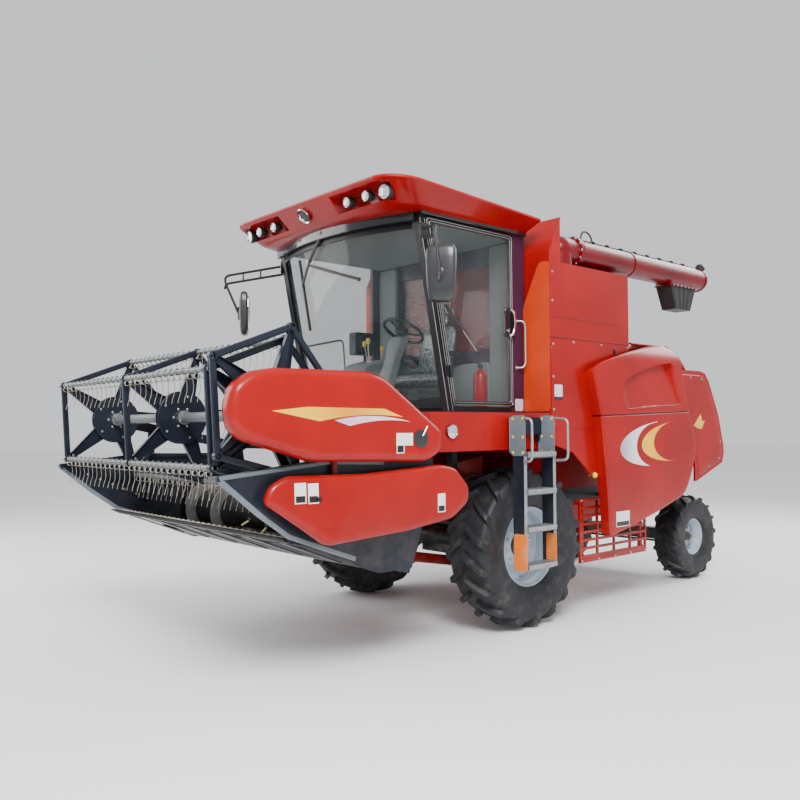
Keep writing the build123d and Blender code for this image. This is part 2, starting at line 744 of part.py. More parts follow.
def header_local(y, z):
    # The (v, w) place on the header of a (y, z) point of the machine at rest
    tilt = math.radians(header_tilt)
    dy, dz = y - header_y, z - header_z
    return (dy * math.cos(tilt) - dz * math.sin(tilt), dy * math.sin(tilt) + dz * math.cos(tilt))


reel_pivot_local = header_local(reel_pivot_y, reel_pivot_z)


def posts(x0, x1, places, radius):
    return joined([cross_rod(x0, x1, v, w, radius) for v, w in places])


end_sheet_outline = [
    (-1227, 224), (-100, 0), (110, 0), (380, 100), (380, 760), (60, 760), (-671, 500),
]


def header_body():
    # Rolled trough with its floor and back wall, end sheets and cross tubes
    half = end_sheet_x
    floor = side_plate([(knife_v, 14), (-150, auger_w - math.sqrt(trough_radius ** 2 - 150 ** 2) - sheet),
                        (-150, auger_w - math.sqrt(trough_radius ** 2 - 150 ** 2)), (knife_v, 14 + sheet)],
                       -half, half)
    ring = cross_rod(-half, half, auger_v, auger_w, trough_radius + sheet)
    ring -= cross_rod(-half - 5, half + 5, auger_v, auger_w, trough_radius)
    keep = side_plate([(-150, auger_w), (-150, -50), (400, -50), (400, auger_w)], -half, half)
    trough = ring & keep
    back = box(-half, half, header_back_v - sheet, header_back_v, auger_w, 700)
    top_tube = box(-half, half, header_back_v, header_back_v + 90, 620, 710)
    low_tube = box(-half, half, header_back_v, header_back_v + 90, 60, 150)
    sheets = side_plate(end_sheet_outline, half, half + sheet)
    sheets -= cross_rod(half - 10, half + 20, auger_v, auger_w, auger_shaft_radius + pin_gap)
    edge = bar((half - 14, -1215, 226), (half - 14, -671, 494), 28, 28)
    edge_back = bar((half - 14, -671, 494), (half - 14, 60, 750), 28, 28)
    bracket = side_plate([(60, 740), (380, 740), (260, 960), (140, 960)], half, half + sheet)
    bracket -= cross_rod(half - 10, half + 20, *reel_pivot_local, reel_pivot_radius + pin_gap)
    bracket += posts(half, half + 74, (reel_ram_foot,), reel_pin_radius)
    mouth = box(-feeder_half_width + 20, feeder_half_width - 20, 200, 500, 170, 600)
    upright = both_sides(box(feeder_half_width, feeder_half_width + 60, header_back_v, header_back_v + 60, 150, 620))
    cover_posts = posts(half, half + 74, lower_cover_posts, 14)
    ends = both_sides(joined([sheets, edge, edge_back, bracket]))
    body = joined([floor, trough, back, top_tube, low_tube, ends, upright, cover_posts])
    return header_place * (body - mouth)


def cutterbar():
    # Knife back and a row of pointed guards
    pitch = 76.2
    count = 33
    back = box(-end_sheet_x + 12, end_sheet_x - 12, knife_v - 40, knife_v - seat_gap, 8, 34)
    guards = []
    for index in range(count):
        x = (index - (count - 1) / 2) * pitch
        root = Plane(origin=(x, knife_v - 38, 21), x_dir=(1, 0, 0), z_dir=(0, -1, 0)) * Rectangle(26, 24)
        tip = Plane(origin=(x, knife_v - 120, 18), x_dir=(1, 0, 0), z_dir=(0, -1, 0)) * Rectangle(5, 5)
        guards.append(loft([root, tip], ruled=True))
    return header_place * joined([back] + guards)


reel_ram_foot = (-420, 360)
reel_pin_radius = 9
lower_cover_posts = ((-600, 300), (100, 600), (340, 640))
lower_cover_outline = [
    (-930, 165), (-776, 385), (-219, 640), (382, 800), (604, 722), (548, 490), (-426, 53),
]


def lower_cover():
    # Red drive cover on the header's left end
    outer = end_sheet_x + 150
    skin = side_plate(lower_cover_outline, end_sheet_x + 74 + seat_gap, outer)
    outline = make_face(Polyline(*lower_cover_outline, close=True))
    inner = offset(outline, amount=-16, kind=Kind.INTERSECTION)
    skin -= extrude(Plane.YZ.offset(end_sheet_x) * inner, amount=outer - 16 - end_sheet_x)
    skin += posts(end_sheet_x + 74 + seat_gap, outer - 10, lower_cover_posts, 14)
    return header_place * skin


def feeder_house():
    # Conveyor housing between the header's mouth and the thresher's throat, hollow right through
    mouth_low = header_point(0, header_back_v + 90 + seat_gap, 120)
    mouth_high = header_point(0, header_back_v + 90 + seat_gap, 610)
    throat_low = (lift_pivot_y - 30, lift_pivot_z - 215)
    throat_high = (lift_pivot_y + 20, lift_pivot_z + 215)
    outer = [(mouth_low[1], mouth_low[2]), throat_low, throat_high, (mouth_high[1], mouth_high[2])]
    shell = side_plate(outer, -feeder_half_width, feeder_half_width)
    inner = [(mouth_low[1] - 60, mouth_low[2] + 18), (throat_low[0] + 40, throat_low[1] + 20),
             (throat_high[0] + 40, throat_high[1] - 20), (mouth_high[1] - 60, mouth_high[2] - 30)]
    shell -= side_plate(inner, -feeder_half_width + 20, feeder_half_width - 20)
    shaft = cross_rod(-rail_x - 20, rail_x + 20, lift_pivot_y, lift_pivot_z, feeder_shaft_radius)
    eye_y, eye_z = lift_eye
    ears = both_sides(box(lift_cylinder_x - lift_ear_gap - 16, lift_cylinder_x - lift_ear_gap, eye_y - 50, eye_y + 50, eye_z - 40, eye_z + 120))
    ears += both_sides(box(lift_cylinder_x + lift_ear_gap, lift_cylinder_x + lift_ear_gap + 16, eye_y - 50, eye_y + 50, eye_z - 40, eye_z + 120))
    outer = lift_cylinder_x + lift_ear_gap + 16
    inner = lift_cylinder_x - lift_ear_gap - 16
    ears += both_sides(cross_rod(outer - 2, outer + 8, eye_y, eye_z, 26))
    ears += both_sides(cross_rod(inner - 8, inner + 2, eye_y, eye_z, 26))
    return joined([shell, shaft, ears])


lift_cylinder_x = 450
lift_pin_radius = 16
lift_ear_gap = 28
lift_base = (-120, 470)
lift_eye = (-1050, 640)


def header_auger():
    # Drum with opposed flights that carry the crop to the middle, and retracting fingers there
    drum = cross_rod(-end_sheet_x + 2 * running_gap, end_sheet_x - 2 * running_gap, 0, 0, auger_drum_radius)
    drum += cross_rod(-end_sheet_x - 2 * sheet, end_sheet_x + 2 * sheet, 0, 0, auger_shaft_radius)
    pitch = 420
    length = end_sheet_x - 330
    path = Helix(pitch=pitch, height=length, radius=auger_drum_radius)
    blade = Plane(origin=path @ 0, x_dir=(1, 0, 0), z_dir=path % 0)
    height = auger_radius - auger_drum_radius + 10
    flight = sweep(blade * Pos(height / 2 - 10, 0) * Rectangle(height, 8), path=path, is_frenet=True)
    flight = Pos(300, 0, 0) * Rot(0, 90, 0) * flight
    other = mirror(flight, about=Plane.YZ)
    fingers = []
    for index in range(12):
        x = -240 + index * 44
        fingers.append(Pos(x, 0, 0) * Rot(index * 75, 0, 0) * Pos(0, auger_drum_radius + 30, 0)
                       * Box(12, 100, 12))
    auger = joined([drum, flight, other] + fingers)
    return header_place * (Pos(0, auger_v, auger_w) * auger)


# Reel

def reel_vertex(index, radius=reel_radius, offset=(0, 0)):
    angle = math.radians(index * 72 + reel_phase)
    return (reel_y + radius * math.cos(angle) + offset[0], reel_z + radius * math.sin(angle) + offset[1])


def star(x, thickness, centre, hub_radius, bore):
    # Five tapered arms on a round hub plate, tied by straps from tip to tip
    cy, cz = centre
    plate = cross_rod(x - thickness / 2, x + thickness / 2, cy, cz, hub_radius)
    pieces = [plate]
    for index in range(5):
        angle = math.radians(index * 72 + reel_phase)
        out = Vector(math.cos(angle), math.sin(angle))
        side = Vector(-math.sin(angle), math.cos(angle))
        corners = []
        for reach, half in ((hub_radius * 0.6, -70), (reel_radius - 10, -20), (reel_radius - 10, 20),
                            (hub_radius * 0.6, 70)):
            corners.append((cy + out.X * reach + side.X * half, cz + out.Y * reach + side.Y * half))
        pieces.append(side_plate(corners, x - thickness / 2, x + thickness / 2))
        start = reel_vertex(index, offset=(cy - reel_y, cz - reel_z))
        end = reel_vertex(index + 1, offset=(cy - reel_y, cz - reel_z))
        pieces.append(bar((x, start[0], start[1]), (x, end[0], end[1]), thickness, 40))
        pieces.append(box(x - thickness / 2, x + thickness / 2, start[0] - 28, start[0] + 28,
                          start[1] - 28, start[1] + 28))
    spider = joined(pieces)
    for index in range(5):
        y, z = reel_vertex(index, offset=(cy - reel_y, cz - reel_z))
        spider -= cross_rod(x - thickness, x + thickness, y, z, bore)
    return spider


star_places = (-1165, 0, 1160)
star_thickness = 8


def reel_frame():
    shaft = cross_rod(-reel_arm_x - 10, reel_arm_x + 10, reel_y, reel_z, reel_shaft_radius)
    centre = (reel_y, reel_z)
    spiders = [star(x, star_thickness, centre, reel_disc_radius, tine_bar_radius + pin_gap) for x in star_places]
    return joined([shaft] + spiders)


ring_x = 1215
ring_hub_radius = 110


def tine_bar(index):
    # Galvanised pipe with spring tines, and the crank that the ring turns
    y, z = reel_vertex(index)
    pipe = cross_rod(star_places[0] - 20, star_places[2] + 30, y, z, tine_bar_radius)
    pieces = [pipe]
    bays = ((star_places[0], star_places[1]), (star_places[1], star_places[2]))
    for low, high in bays:
        pitch = (high - low) / tines_per_bay
        for place in range(tines_per_bay):
            x = low + (place + 0.5) * pitch
            pieces.append(box(x - 4, x + 4, y - 4, y + 4, z - tine_length, z))
    crank_x = star_places[2] + 26
    pin_z = z + crank_offset
    pieces.append(box(crank_x - 4, crank_x + 4, y - 14, y + 14, z, pin_z + 14))
    pieces.append(cross_rod(crank_x, ring_x + 8, y, pin_z, 10))
    return joined(pieces)


def reel_ring():
    # Second star, set off from the shaft by the cranks' length, that keeps the tines upright
    centre = (reel_y, reel_z + crank_offset)
    ring = star(ring_x, star_thickness, centre, 130, 10 + pin_gap)
    ring -= cross_rod(ring_x - 20, ring_x + 20, *centre, ring_hub_radius + pin_gap)
    return ring


def reel_arms():
    # Boxed arm at each end with the shaft bearing, and the roller that carries the ring
    def arm(sign):
        x = sign * reel_arm_x
        beam = bar((x, reel_pivot_y, reel_pivot_z), (x, reel_y, reel_z), 36, 80)
        boss = cross_rod(x - 18, x + 18, reel_pivot_y, reel_pivot_z, 55)
        head = cross_rod(x - 18, x + 18, reel_y, reel_z, 62)
        return joined([beam, boss, head])
    arms = []
    for sign in (1, -1):
        piece = arm(sign)
        piece -= cross_rod(sign * (reel_arm_x - 40), sign * (reel_arm_x + 40), reel_y, reel_z,
                           reel_shaft_radius + pin_gap)
        arms.append(piece)
    for sign in (1, -1):
        cheek = box(reel_ram_x + 20, reel_ram_x + 32, reel_ram_eye[0] - 24, reel_ram_eye[0] + 24,
                    reel_ram_eye[1] - 24, reel_ram_eye[1] + 60)
        cheek += cross_rod(reel_ram_x + 30, reel_ram_x + 40, *reel_ram_eye, 14)
        arms.append(cheek if sign > 0 else mirror(cheek, about=Plane.YZ))
    cross = cross_rod(-reel_arm_x, reel_arm_x, reel_pivot_y, reel_pivot_z, reel_pivot_radius)
    hub = cross_rod(ring_x - 4, ring_x + 4, reel_y, reel_z + crank_offset, ring_hub_radius)
    hub += cross_rod(ring_x + 4, reel_arm_x, reel_y, reel_z, 58)
    hub -= cross_rod(ring_x - 20, reel_arm_x + 30, reel_y, reel_z, reel_shaft_radius + pin_gap)
    return joined(arms + [cross, hub])


upper_cover_outline = [
    (-2897, 1732), (-2870, 1850), (-2740, 1935), (-2600, 1965), (-1900, 1975), (-1780, 1940),
    (-1268, 1600), (-1262, 1500), (-1290, 1440), (-1409, 1387), (-2340, 1417), (-2810, 1555), (-2880, 1620),
]


def upper_cover():
    # Rounded red cover over the reel drive, on the left arm
    inner_x, outer_x = reel_arm_x + 26, reel_arm_x + 130
    skin = side_plate(upper_cover_outline, inner_x, outer_x)
    outline = make_face(Polyline(*upper_cover_outline, close=True))
    inner = offset(outline, amount=-18, kind=Kind.INTERSECTION)
    skin -= extrude(Plane.YZ.offset(inner_x - 10) * inner, amount=outer_x - 18 - inner_x + 10)
    for place in (0.15, 0.85):
        y = reel_pivot_y + place * (reel_y - reel_pivot_y)
        z = reel_pivot_z + place * (reel_z - reel_pivot_z)
        skin += cross_rod(reel_arm_x + 18 + seat_gap, outer_x - 10, y, z, 16)
    return skin


def ram(base, eye, x, barrel_length, rod_start, barrel_radius, rod_radius, pin_radius, neck):
    # Hydraulic ram from its base pin towards its rod's eye, as barrel and rod
    base_point, eye_point = Vector(x, *base), Vector(x, *eye)
    along = (eye_point - base_point).normalized()
    end = base_point + along * barrel_length
    barrel = rod(base_point + along * neck, end, barrel_radius)
    barrel += bar(base_point, base_point + along * (neck + 10), 32, barrel_radius)
    barrel += cross_rod(x - 20, x + 20, *base, barrel_radius)
    barrel -= rod(base_point + along * (neck + 16), end + along * 5, rod_radius + pin_gap)
    barrel -= cross_rod(x - 30, x + 30, *base, pin_radius + pin_gap)
    piston = rod(base_point + along * rod_start, eye_point - along * 10, rod_radius)
    piston += cross_rod(x - 16, x + 16, *eye, rod_radius + 12)
    return barrel, piston


def lift_rams():
    barrels, rods = [], []
    for sign in (1, -1):
        barrel, piston = ram(lift_base, lift_eye, sign * lift_cylinder_x, 600, 336, 42, 24, lift_pin_radius, 55)
        barrels.append(barrel)
        rods.append(piston)
    return apart(barrels), apart(rods)


reel_ram_base = header_point(0, *reel_ram_foot)[1:]
reel_ram_eye = (-2095, 1545)
reel_ram_x = 1304


def reel_rams():
    barrels, rods = [], []
    for sign in (1, -1):
        barrel, piston = ram(reel_ram_base, reel_ram_eye, sign * reel_ram_x, 278, 60, 20, 11, reel_pin_radius, 24)
        barrels.append(barrel)
        rods.append(piston)
    return apart(barrels), apart(rods)


def build():
    nodes = {}
    nodes["main_frame"] = main_frame()
    nodes["front_axle"] = front_axle()
    nodes["rear_axle"] = rear_axle()
    nodes["thresher_body"] = thresher_body()
    nodes["lower_guard"] = lower_guard()
    nodes["grain_tank"] = grain_tank()
    nodes["engine_block"] = engine_block()
    nodes["engine_hood"] = engine_hood()
    nodes["rear_hood"] = rear_hood()
    nodes["side_panel_left"] = side_panel(1)
    nodes["side_panel_right"] = side_panel(-1)
    nodes["cab_platform"] = cab_platform()
    nodes["cab_frame"] = cab_frame()
    nodes["cab_glass"] = cab_glass()
    nodes["cab_roof"] = cab_roof()
    nodes["roof_lamps"] = roof_lamps()
    nodes["cab_door"], nodes["door_glass"] = cab_door()
    nodes["operator_seat"] = operator_seat()
    nodes["steering_console"] = steering_console()
    nodes["mirrors"] = mirrors()
    nodes["ladder"] = ladder()
    nodes["unloading_tube"] = unloading_tube()
    nodes["unloading_spout"] = unloading_spout()
    nodes["header_body"] = header_body()
    nodes["cutterbar"] = cutterbar()
    nodes["lower_cover"] = lower_cover()
    nodes["feeder_house"] = feeder_house()
    nodes["header_auger"] = header_auger()
    nodes["reel_frame"] = reel_frame()
    nodes["reel_ring"] = reel_ring()
    for index in range(5):
        nodes[f"tine_bar_{index + 1}"] = tine_bar(index)
    nodes["reel_arms"] = reel_arms()
    nodes["upper_cover"] = upper_cover()
    nodes["lift_barrels"], nodes["lift_rods"] = lift_rams()
    nodes["reel_barrels"], nodes["reel_rods"] = reel_rams()
    nodes["knuckle_left"] = knuckle(1)
    nodes["knuckle_right"] = knuckle(-1)
    nodes["tie_rod"] = tie_rod()
    nodes.update(wheels())
    return nodes


nodes = build()
boxes = [piece.bounding_box() for piece in nodes.values()]
low_corner = Vector(*(min(getattr(each.min, axis) for each in boxes) for axis in "XYZ"))
high_corner = Vector(*(max(getattr(each.max, axis) for each in boxes) for axis in "XYZ"))
shift = Vector(-(low_corner.X + high_corner.X) / 2, -(low_corner.Y + high_corner.Y) / 2, -low_corner.Z)
os.makedirs("parts", exist_ok=True)
for name, piece in nodes.items():
    export_step(Pos(shift) * piece, f"parts/{name}.step")
print("shift", tuple(round(value, 3) for value in shift))
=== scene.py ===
import json
import math
import sys

import bpy
import numpy as np
from mathutils import Matrix, Vector
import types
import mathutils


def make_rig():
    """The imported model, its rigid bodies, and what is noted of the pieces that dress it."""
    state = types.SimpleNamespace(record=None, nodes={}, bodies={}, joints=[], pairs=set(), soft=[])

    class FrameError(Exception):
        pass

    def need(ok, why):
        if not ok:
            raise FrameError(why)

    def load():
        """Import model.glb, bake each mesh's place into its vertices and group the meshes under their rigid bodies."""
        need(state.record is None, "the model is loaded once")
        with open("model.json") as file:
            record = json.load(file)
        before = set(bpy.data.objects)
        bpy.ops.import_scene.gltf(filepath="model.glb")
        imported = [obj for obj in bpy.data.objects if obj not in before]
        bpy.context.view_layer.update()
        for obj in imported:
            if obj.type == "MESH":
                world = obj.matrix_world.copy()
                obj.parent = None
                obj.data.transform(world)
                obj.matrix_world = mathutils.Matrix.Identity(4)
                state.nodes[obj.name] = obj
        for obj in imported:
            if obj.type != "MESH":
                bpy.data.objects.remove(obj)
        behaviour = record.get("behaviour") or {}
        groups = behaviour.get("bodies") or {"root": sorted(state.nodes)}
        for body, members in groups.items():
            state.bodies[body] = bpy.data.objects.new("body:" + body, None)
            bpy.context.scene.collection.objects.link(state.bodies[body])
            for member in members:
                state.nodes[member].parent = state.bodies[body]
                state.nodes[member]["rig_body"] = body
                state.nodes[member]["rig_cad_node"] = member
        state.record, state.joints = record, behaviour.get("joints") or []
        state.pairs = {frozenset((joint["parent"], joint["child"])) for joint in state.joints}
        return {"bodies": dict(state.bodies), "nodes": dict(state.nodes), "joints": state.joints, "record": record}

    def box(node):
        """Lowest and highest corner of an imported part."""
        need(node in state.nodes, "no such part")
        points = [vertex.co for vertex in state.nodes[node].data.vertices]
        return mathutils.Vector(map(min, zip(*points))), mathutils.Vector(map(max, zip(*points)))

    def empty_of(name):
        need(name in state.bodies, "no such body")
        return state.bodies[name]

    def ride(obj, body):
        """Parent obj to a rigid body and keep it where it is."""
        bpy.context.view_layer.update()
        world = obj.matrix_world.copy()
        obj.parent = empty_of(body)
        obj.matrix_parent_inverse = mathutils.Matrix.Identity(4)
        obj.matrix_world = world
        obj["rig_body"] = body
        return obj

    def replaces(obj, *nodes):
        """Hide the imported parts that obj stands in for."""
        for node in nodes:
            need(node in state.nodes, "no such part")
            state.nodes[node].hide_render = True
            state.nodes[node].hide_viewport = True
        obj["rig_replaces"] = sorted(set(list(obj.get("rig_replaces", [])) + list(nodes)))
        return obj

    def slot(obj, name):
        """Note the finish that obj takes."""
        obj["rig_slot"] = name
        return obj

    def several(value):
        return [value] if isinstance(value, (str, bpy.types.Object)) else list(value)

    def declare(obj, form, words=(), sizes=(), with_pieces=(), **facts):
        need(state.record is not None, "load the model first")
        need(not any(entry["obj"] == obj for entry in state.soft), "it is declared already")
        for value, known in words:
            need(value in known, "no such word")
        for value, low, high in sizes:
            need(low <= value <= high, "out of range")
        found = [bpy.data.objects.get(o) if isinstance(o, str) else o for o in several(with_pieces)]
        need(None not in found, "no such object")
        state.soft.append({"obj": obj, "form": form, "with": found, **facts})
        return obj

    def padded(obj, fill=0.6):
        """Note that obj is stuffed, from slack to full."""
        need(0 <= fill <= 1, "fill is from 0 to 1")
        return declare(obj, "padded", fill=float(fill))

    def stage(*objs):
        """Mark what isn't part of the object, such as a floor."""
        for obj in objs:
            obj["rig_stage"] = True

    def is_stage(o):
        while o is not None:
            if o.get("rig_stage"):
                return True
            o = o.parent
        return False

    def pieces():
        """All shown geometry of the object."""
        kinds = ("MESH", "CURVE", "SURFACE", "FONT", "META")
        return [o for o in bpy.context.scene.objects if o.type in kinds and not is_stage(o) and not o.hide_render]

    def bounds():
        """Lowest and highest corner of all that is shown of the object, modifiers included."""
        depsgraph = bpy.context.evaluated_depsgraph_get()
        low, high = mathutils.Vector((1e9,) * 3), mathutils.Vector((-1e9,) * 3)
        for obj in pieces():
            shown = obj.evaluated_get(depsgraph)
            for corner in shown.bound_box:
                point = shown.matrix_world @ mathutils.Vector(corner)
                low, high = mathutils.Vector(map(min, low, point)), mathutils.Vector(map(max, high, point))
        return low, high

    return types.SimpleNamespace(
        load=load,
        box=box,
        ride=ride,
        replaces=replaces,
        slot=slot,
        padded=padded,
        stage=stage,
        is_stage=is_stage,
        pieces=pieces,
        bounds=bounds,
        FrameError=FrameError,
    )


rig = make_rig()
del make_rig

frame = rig.load()
cad_box = [list(corner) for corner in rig.bounds()]

bl_info = {
    "name": "Combine harvester finish",
    "version": (1, 0, 0),
    "blender": (4, 5, 0),
    "location": "3D View > Sidebar > Harvester",
    "description": "Dresses the packed combine harvester with its finishes and detailed pieces",
    "category": "Object",
}

# Where the drawing's working origin, on the ground under the front axle, lies in the frame, in metres
SHIFT = (np.array(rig.box("front_rim_left")[0]) + np.array(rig.box("front_rim_right")[1])) / 2 * (1, 1, 0)


def settings():
    return bpy.context.scene.harvester


# Shader expressions

class Value:
    """A socket that can be used in Python expressions, which adds its Math nodes."""

    def __init__(self, finish, socket):
        self.finish, self.socket = finish, socket

    def math(self, operation, *others):
        return self.finish.node("ShaderNodeMath", {"operation": operation}, dict(enumerate((self,) + others)))

    def __add__(self, other):
        return self.math("ADD", other)

    def __sub__(self, other):
        return self.math("SUBTRACT", other)

    def __mul__(self, other):
        return self.math("MULTIPLY", other)

    def __truediv__(self, other):
        return self.math("DIVIDE", other)

    def __rsub__(self, other):
        return self.finish.node("ShaderNodeMath", {"operation": "SUBTRACT"}, {0: other, 1: self})

    def __gt__(self, other):
        return self.math("GREATER_THAN", other)

    def __lt__(self, other):
        return self.math("LESS_THAN", other)

    def band(self, low, high):
        """Rises smoothly from 0 at low to 1 at high."""
        return self.finish.node("ShaderNodeMapRange", {"interpolation_type": "SMOOTHSTEP", "clamp": True},
                                {"Value": self, "From Min": low, "From Max": high, "To Min": 0.0,
                                 "To Max": 1.0})


class Finish:
    """One material's node tree, grown by expressions."""

    def __init__(self, name):
        self.material = bpy.data.materials.new(name)
        self.material.use_nodes = True
        self.tree = self.material.node_tree
        self.tree.nodes.clear()
        self.output = self.tree.nodes.new("ShaderNodeOutputMaterial")

    def node(self, kind, options=None, inputs=None, output=0):
        """Any node: its options are set first, then its sockets get numbers, colours or links."""
        made = self.tree.nodes.new(kind)
        for name, value in (options or {}).items():
            setattr(made, name, value)
        for name, value in (inputs or {}).items():
            socket = made.inputs[name]
            if isinstance(value, Value):
                self.tree.links.new(value.socket, socket)
            else:
                socket.default_value = value
        return Value(self, made.outputs[output])

    def place(self, scale=(1, 1, 1)):
        spot = self.node("ShaderNodeTexCoord", output="Object")
        return self.node("ShaderNodeMapping", {}, {"Vector": spot, "Scale": scale})

    def axis(self, index):
        spot = self.node("ShaderNodeTexCoord", output="Object")
        return self.node("ShaderNodeSeparateXYZ", {}, {"Vector": spot}, output=index)

    def noise(self, scale, detail=4.0, roughness=.55, stretch=(1, 1, 1)):
        return self.node("ShaderNodeTexNoise", {},
                         {"Vector": self.place(stretch), "Scale": scale, "Detail": detail,
                          "Roughness": roughness})

    def facing_up(self):
        normal = self.node("ShaderNodeNewGeometry", output="Normal")
        return self.node("ShaderNodeSeparateXYZ", {}, {"Vector": normal}, output=2)

    def mix(self, share, first, second):
        return self.node("ShaderNodeMix", {"data_type": "RGBA"}, {0: share, 6: first, 7: second}, output=2)

    def over(self, p, q, start, end, bulge=0.0):
        """1 above the arch from start to end, whose height over its chord is bulge times 4t(1-t)."""
        run = (end[0] - start[0], end[1] - start[1])
        length = math.hypot(*run)
        unit = (run[0] / length, run[1] / length)
        off = (q - start[1]) * unit[0] - (p - start[0]) * unit[1]
        if bulge:
            t = ((p - start[0]) * unit[0] + (q - start[1]) * unit[1]) / length
            off = off - t * (1 - t) * (4 * bulge)
        return off.band(-.0012, .0012)

    def oval(self, p, q, centre, half, tilt=0.0):
        """1 inside an ellipse whose long axis is tilted."""
        c, s = math.cos(tilt), math.sin(tilt)
        a = ((p - centre[0]) * c + (q - centre[1]) * s) / half[0]
        b = ((q - centre[1]) * c - (p - centre[0]) * s) / half[1]
        return 1 - (a * a + b * b).band(.985, 1.0)

    def plate(self, p, q, low, high):
        """1 inside an upright rectangle."""
        return ((p > low[0]) * (p < high[0])) * ((q > low[1]) * (q < high[1]))

    def bump(self, height, strength, distance):
        return self.node("ShaderNodeBump", {}, {"Height": height, "Strength": strength, "Distance": distance})

    def surface(self, **sockets):
        names = {"base": "Base Color", "rough": "Roughness", "metal": "Metallic", "coat": "Coat Weight",
                 "coat_rough": "Coat Roughness", "normal": "Normal", "alpha": "Alpha",
                 "specular": "Specular IOR Level"}
        shader = self.node("ShaderNodeBsdfPrincipled", {},
                           {names[key]: value for key, value in sockets.items()})
        self.tree.links.new(shader.socket, self.output.inputs["Surface"])
        return self.material


def rgb(red, green, blue):
    return (red, green, blue, 1.0)


DUST = rgb(.3, .24, .17)
DEEP_SHARE = .78

# Sprayed finishes: colour, deep shade, then roughness, coat, dust and the dust's upper edge where they differ
PAINTS = {
    "black_gloss": (rgb(.012, .013, .016), rgb(.007, .008, .01), .12, .6, .2, 1.2),
    "steel_grey": (rgb(.16, .19, .21), rgb(.11, .135, .155), .34, .2, .4, 1.6),
    # Painted sunlight: a lighter orange-red for the tank's front corner panels
    "corner_paint": (rgb(.55, .045, .004), rgb(.45, .03, .003)),
    "tube_paint": (rgb(.17, .0015, .005), rgb(.12, .001, .004)),
    "bright_red": (rgb(.36, .002, .003), rgb(.28, .0015, .002), .34, .22, .1),
    "khaki_paint": (rgb(.24, .23, .15), rgb(.15, .15, .1), .4, .1, .6, 1.8),
    "navy_paint": (rgb(.013, .017, .028), rgb(.008, .01, .018), .36, .15, .2, 1.6),
    "pipe_steel": (rgb(.15, .16, .165), rgb(.1, .108, .112), .4, .1, .3, 2.2),
    "bolt_cream": (rgb(.5, .43, .22), rgb(.36, .3, .14), .35, .1, .2, 1.6),
    "black_paint": (rgb(.018, .018, .02), rgb(.01, .01, .011), .4, .15, .5, 1.2),
    "rim_paint": (rgb(.46, .53, .62), rgb(.36, .43, .52), .33, .3, .4, 1.1),
}

# Grained finishes: noise of the clouds, their two shades, noise of the grain, its share in the roughness
# and the roughness below it, its bump's strength and distance, and constant sockets
GRAINS = {
    "spout_rubber": ((5.0, 5.0), rgb(.008, .008, .009), rgb(.02, .021, .022), (180.0, 5.0, .7),
                     (.15, .42), (.25, .0012), {"specular": .4}),
    "cab_trim": ((5.0,), rgb(.12, .135, .135), rgb(.17, .185, .18), (420.0, 3.0), (.1, .55),
                 (.3, .0006), {}),
    "cab_lining": ((3.0,), rgb(.13, .145, .135), rgb(.19, .205, .19), (300.0, 4.0), (.1, .7),
                   (.2, .0006), {}),
    "black_plastic": ((8.0,), rgb(.012, .012, .013), rgb(.024, .024, .026), (380.0, 3.0), (.12, .38),
                      (.2, .0005), {}),
    "mirror_plastic": ((6.0,), rgb(.012, .013, .014), rgb(.024, .025, .027), (420.0, 3.0), (.1, .26),
                       (.15, .0005), {"coat": .3, "coat_rough": .2}),
    "soft_rubber": ((6.0,), rgb(.012, .012, .013), rgb(.03, .03, .03), (150.0, 5.0), (.15, .6),
                    (.35, .0012), {}),
    "knob_yellow": ((9.0,), rgb(.75, .5, .02), rgb(.85, .6, .05), (200.0, 3.0), (.1, .3), None, {}),
    "label_white": ((12.0,), rgb(.62, .5, .52), rgb(.8, .68, .7), (50.0,), (.1, .3), None, {}),
    "flash_yellow": ((9.0,), rgb(.75, .42, .04), rgb(.85, .55, .08), (50.0,), (.1, .28), None, {}),
    "chrome": ((9.0,), rgb(.72, .72, .73), rgb(.9, .9, .91), (120.0,), (.08, .06), None, {"metal": 1.0}),
    "mirror_glass": ((3.0,), rgb(.55, .58, .6), rgb(.72, .74, .75), (40.0,), (.04, .02), None,
                     {"metal": 1.0}),
}

# The slot that each finish's pieces name, unless build is told another
SLOTS = {finish: slot for slot, names in {
    "red_paint": ("red_paint", "reel_cover_paint", "header_cover_paint", "side_panel_paint", "corner_paint",
                  "shadow_red", "flash_yellow", "tube_paint", "bright_red", "worn_auger"),
    "frame_paint": ("black_paint", "navy_paint"),
    "zinc_steel": ("zinc_steel", "pipe_steel", "spring_wire", "bolt_cream", "galvanised", "steel_grey",
                   "label_white", "bare_steel"),
    "chrome_rod": ("chrome",),
    "black_plastic": ("black_plastic", "black_gloss", "soft_rubber", "pillar_paint", "mirror_plastic"),
    "lamp_plastic": ("lamp_lens", "reflector_orange"),
    "cab_plastic": ("cab_trim", "cab_lining", "knob_yellow"),
    "cast_drive": ("cast_iron", "khaki_paint"),
    "tyre_rubber": ("tyre_rubber",),
    "rim_paint": ("rim_paint",),
    "spout_rubber": ("spout_rubber",),
    "seat_fabric": ("seat_cloth",),
    "clear_glass": ("mirror_glass",),
}.items() for finish in names}

finishes = {}


def finish_of(name):
    if name not in finishes:
        if name in PAINTS:
            finishes[name] = painted(name.title(), *PAINTS[name])
        elif name in GRAINS:
            finishes[name] = grained(name.title(), *GRAINS[name])
        else:
            finishes[name] = globals()["make_" + name]()
    return finishes[name]


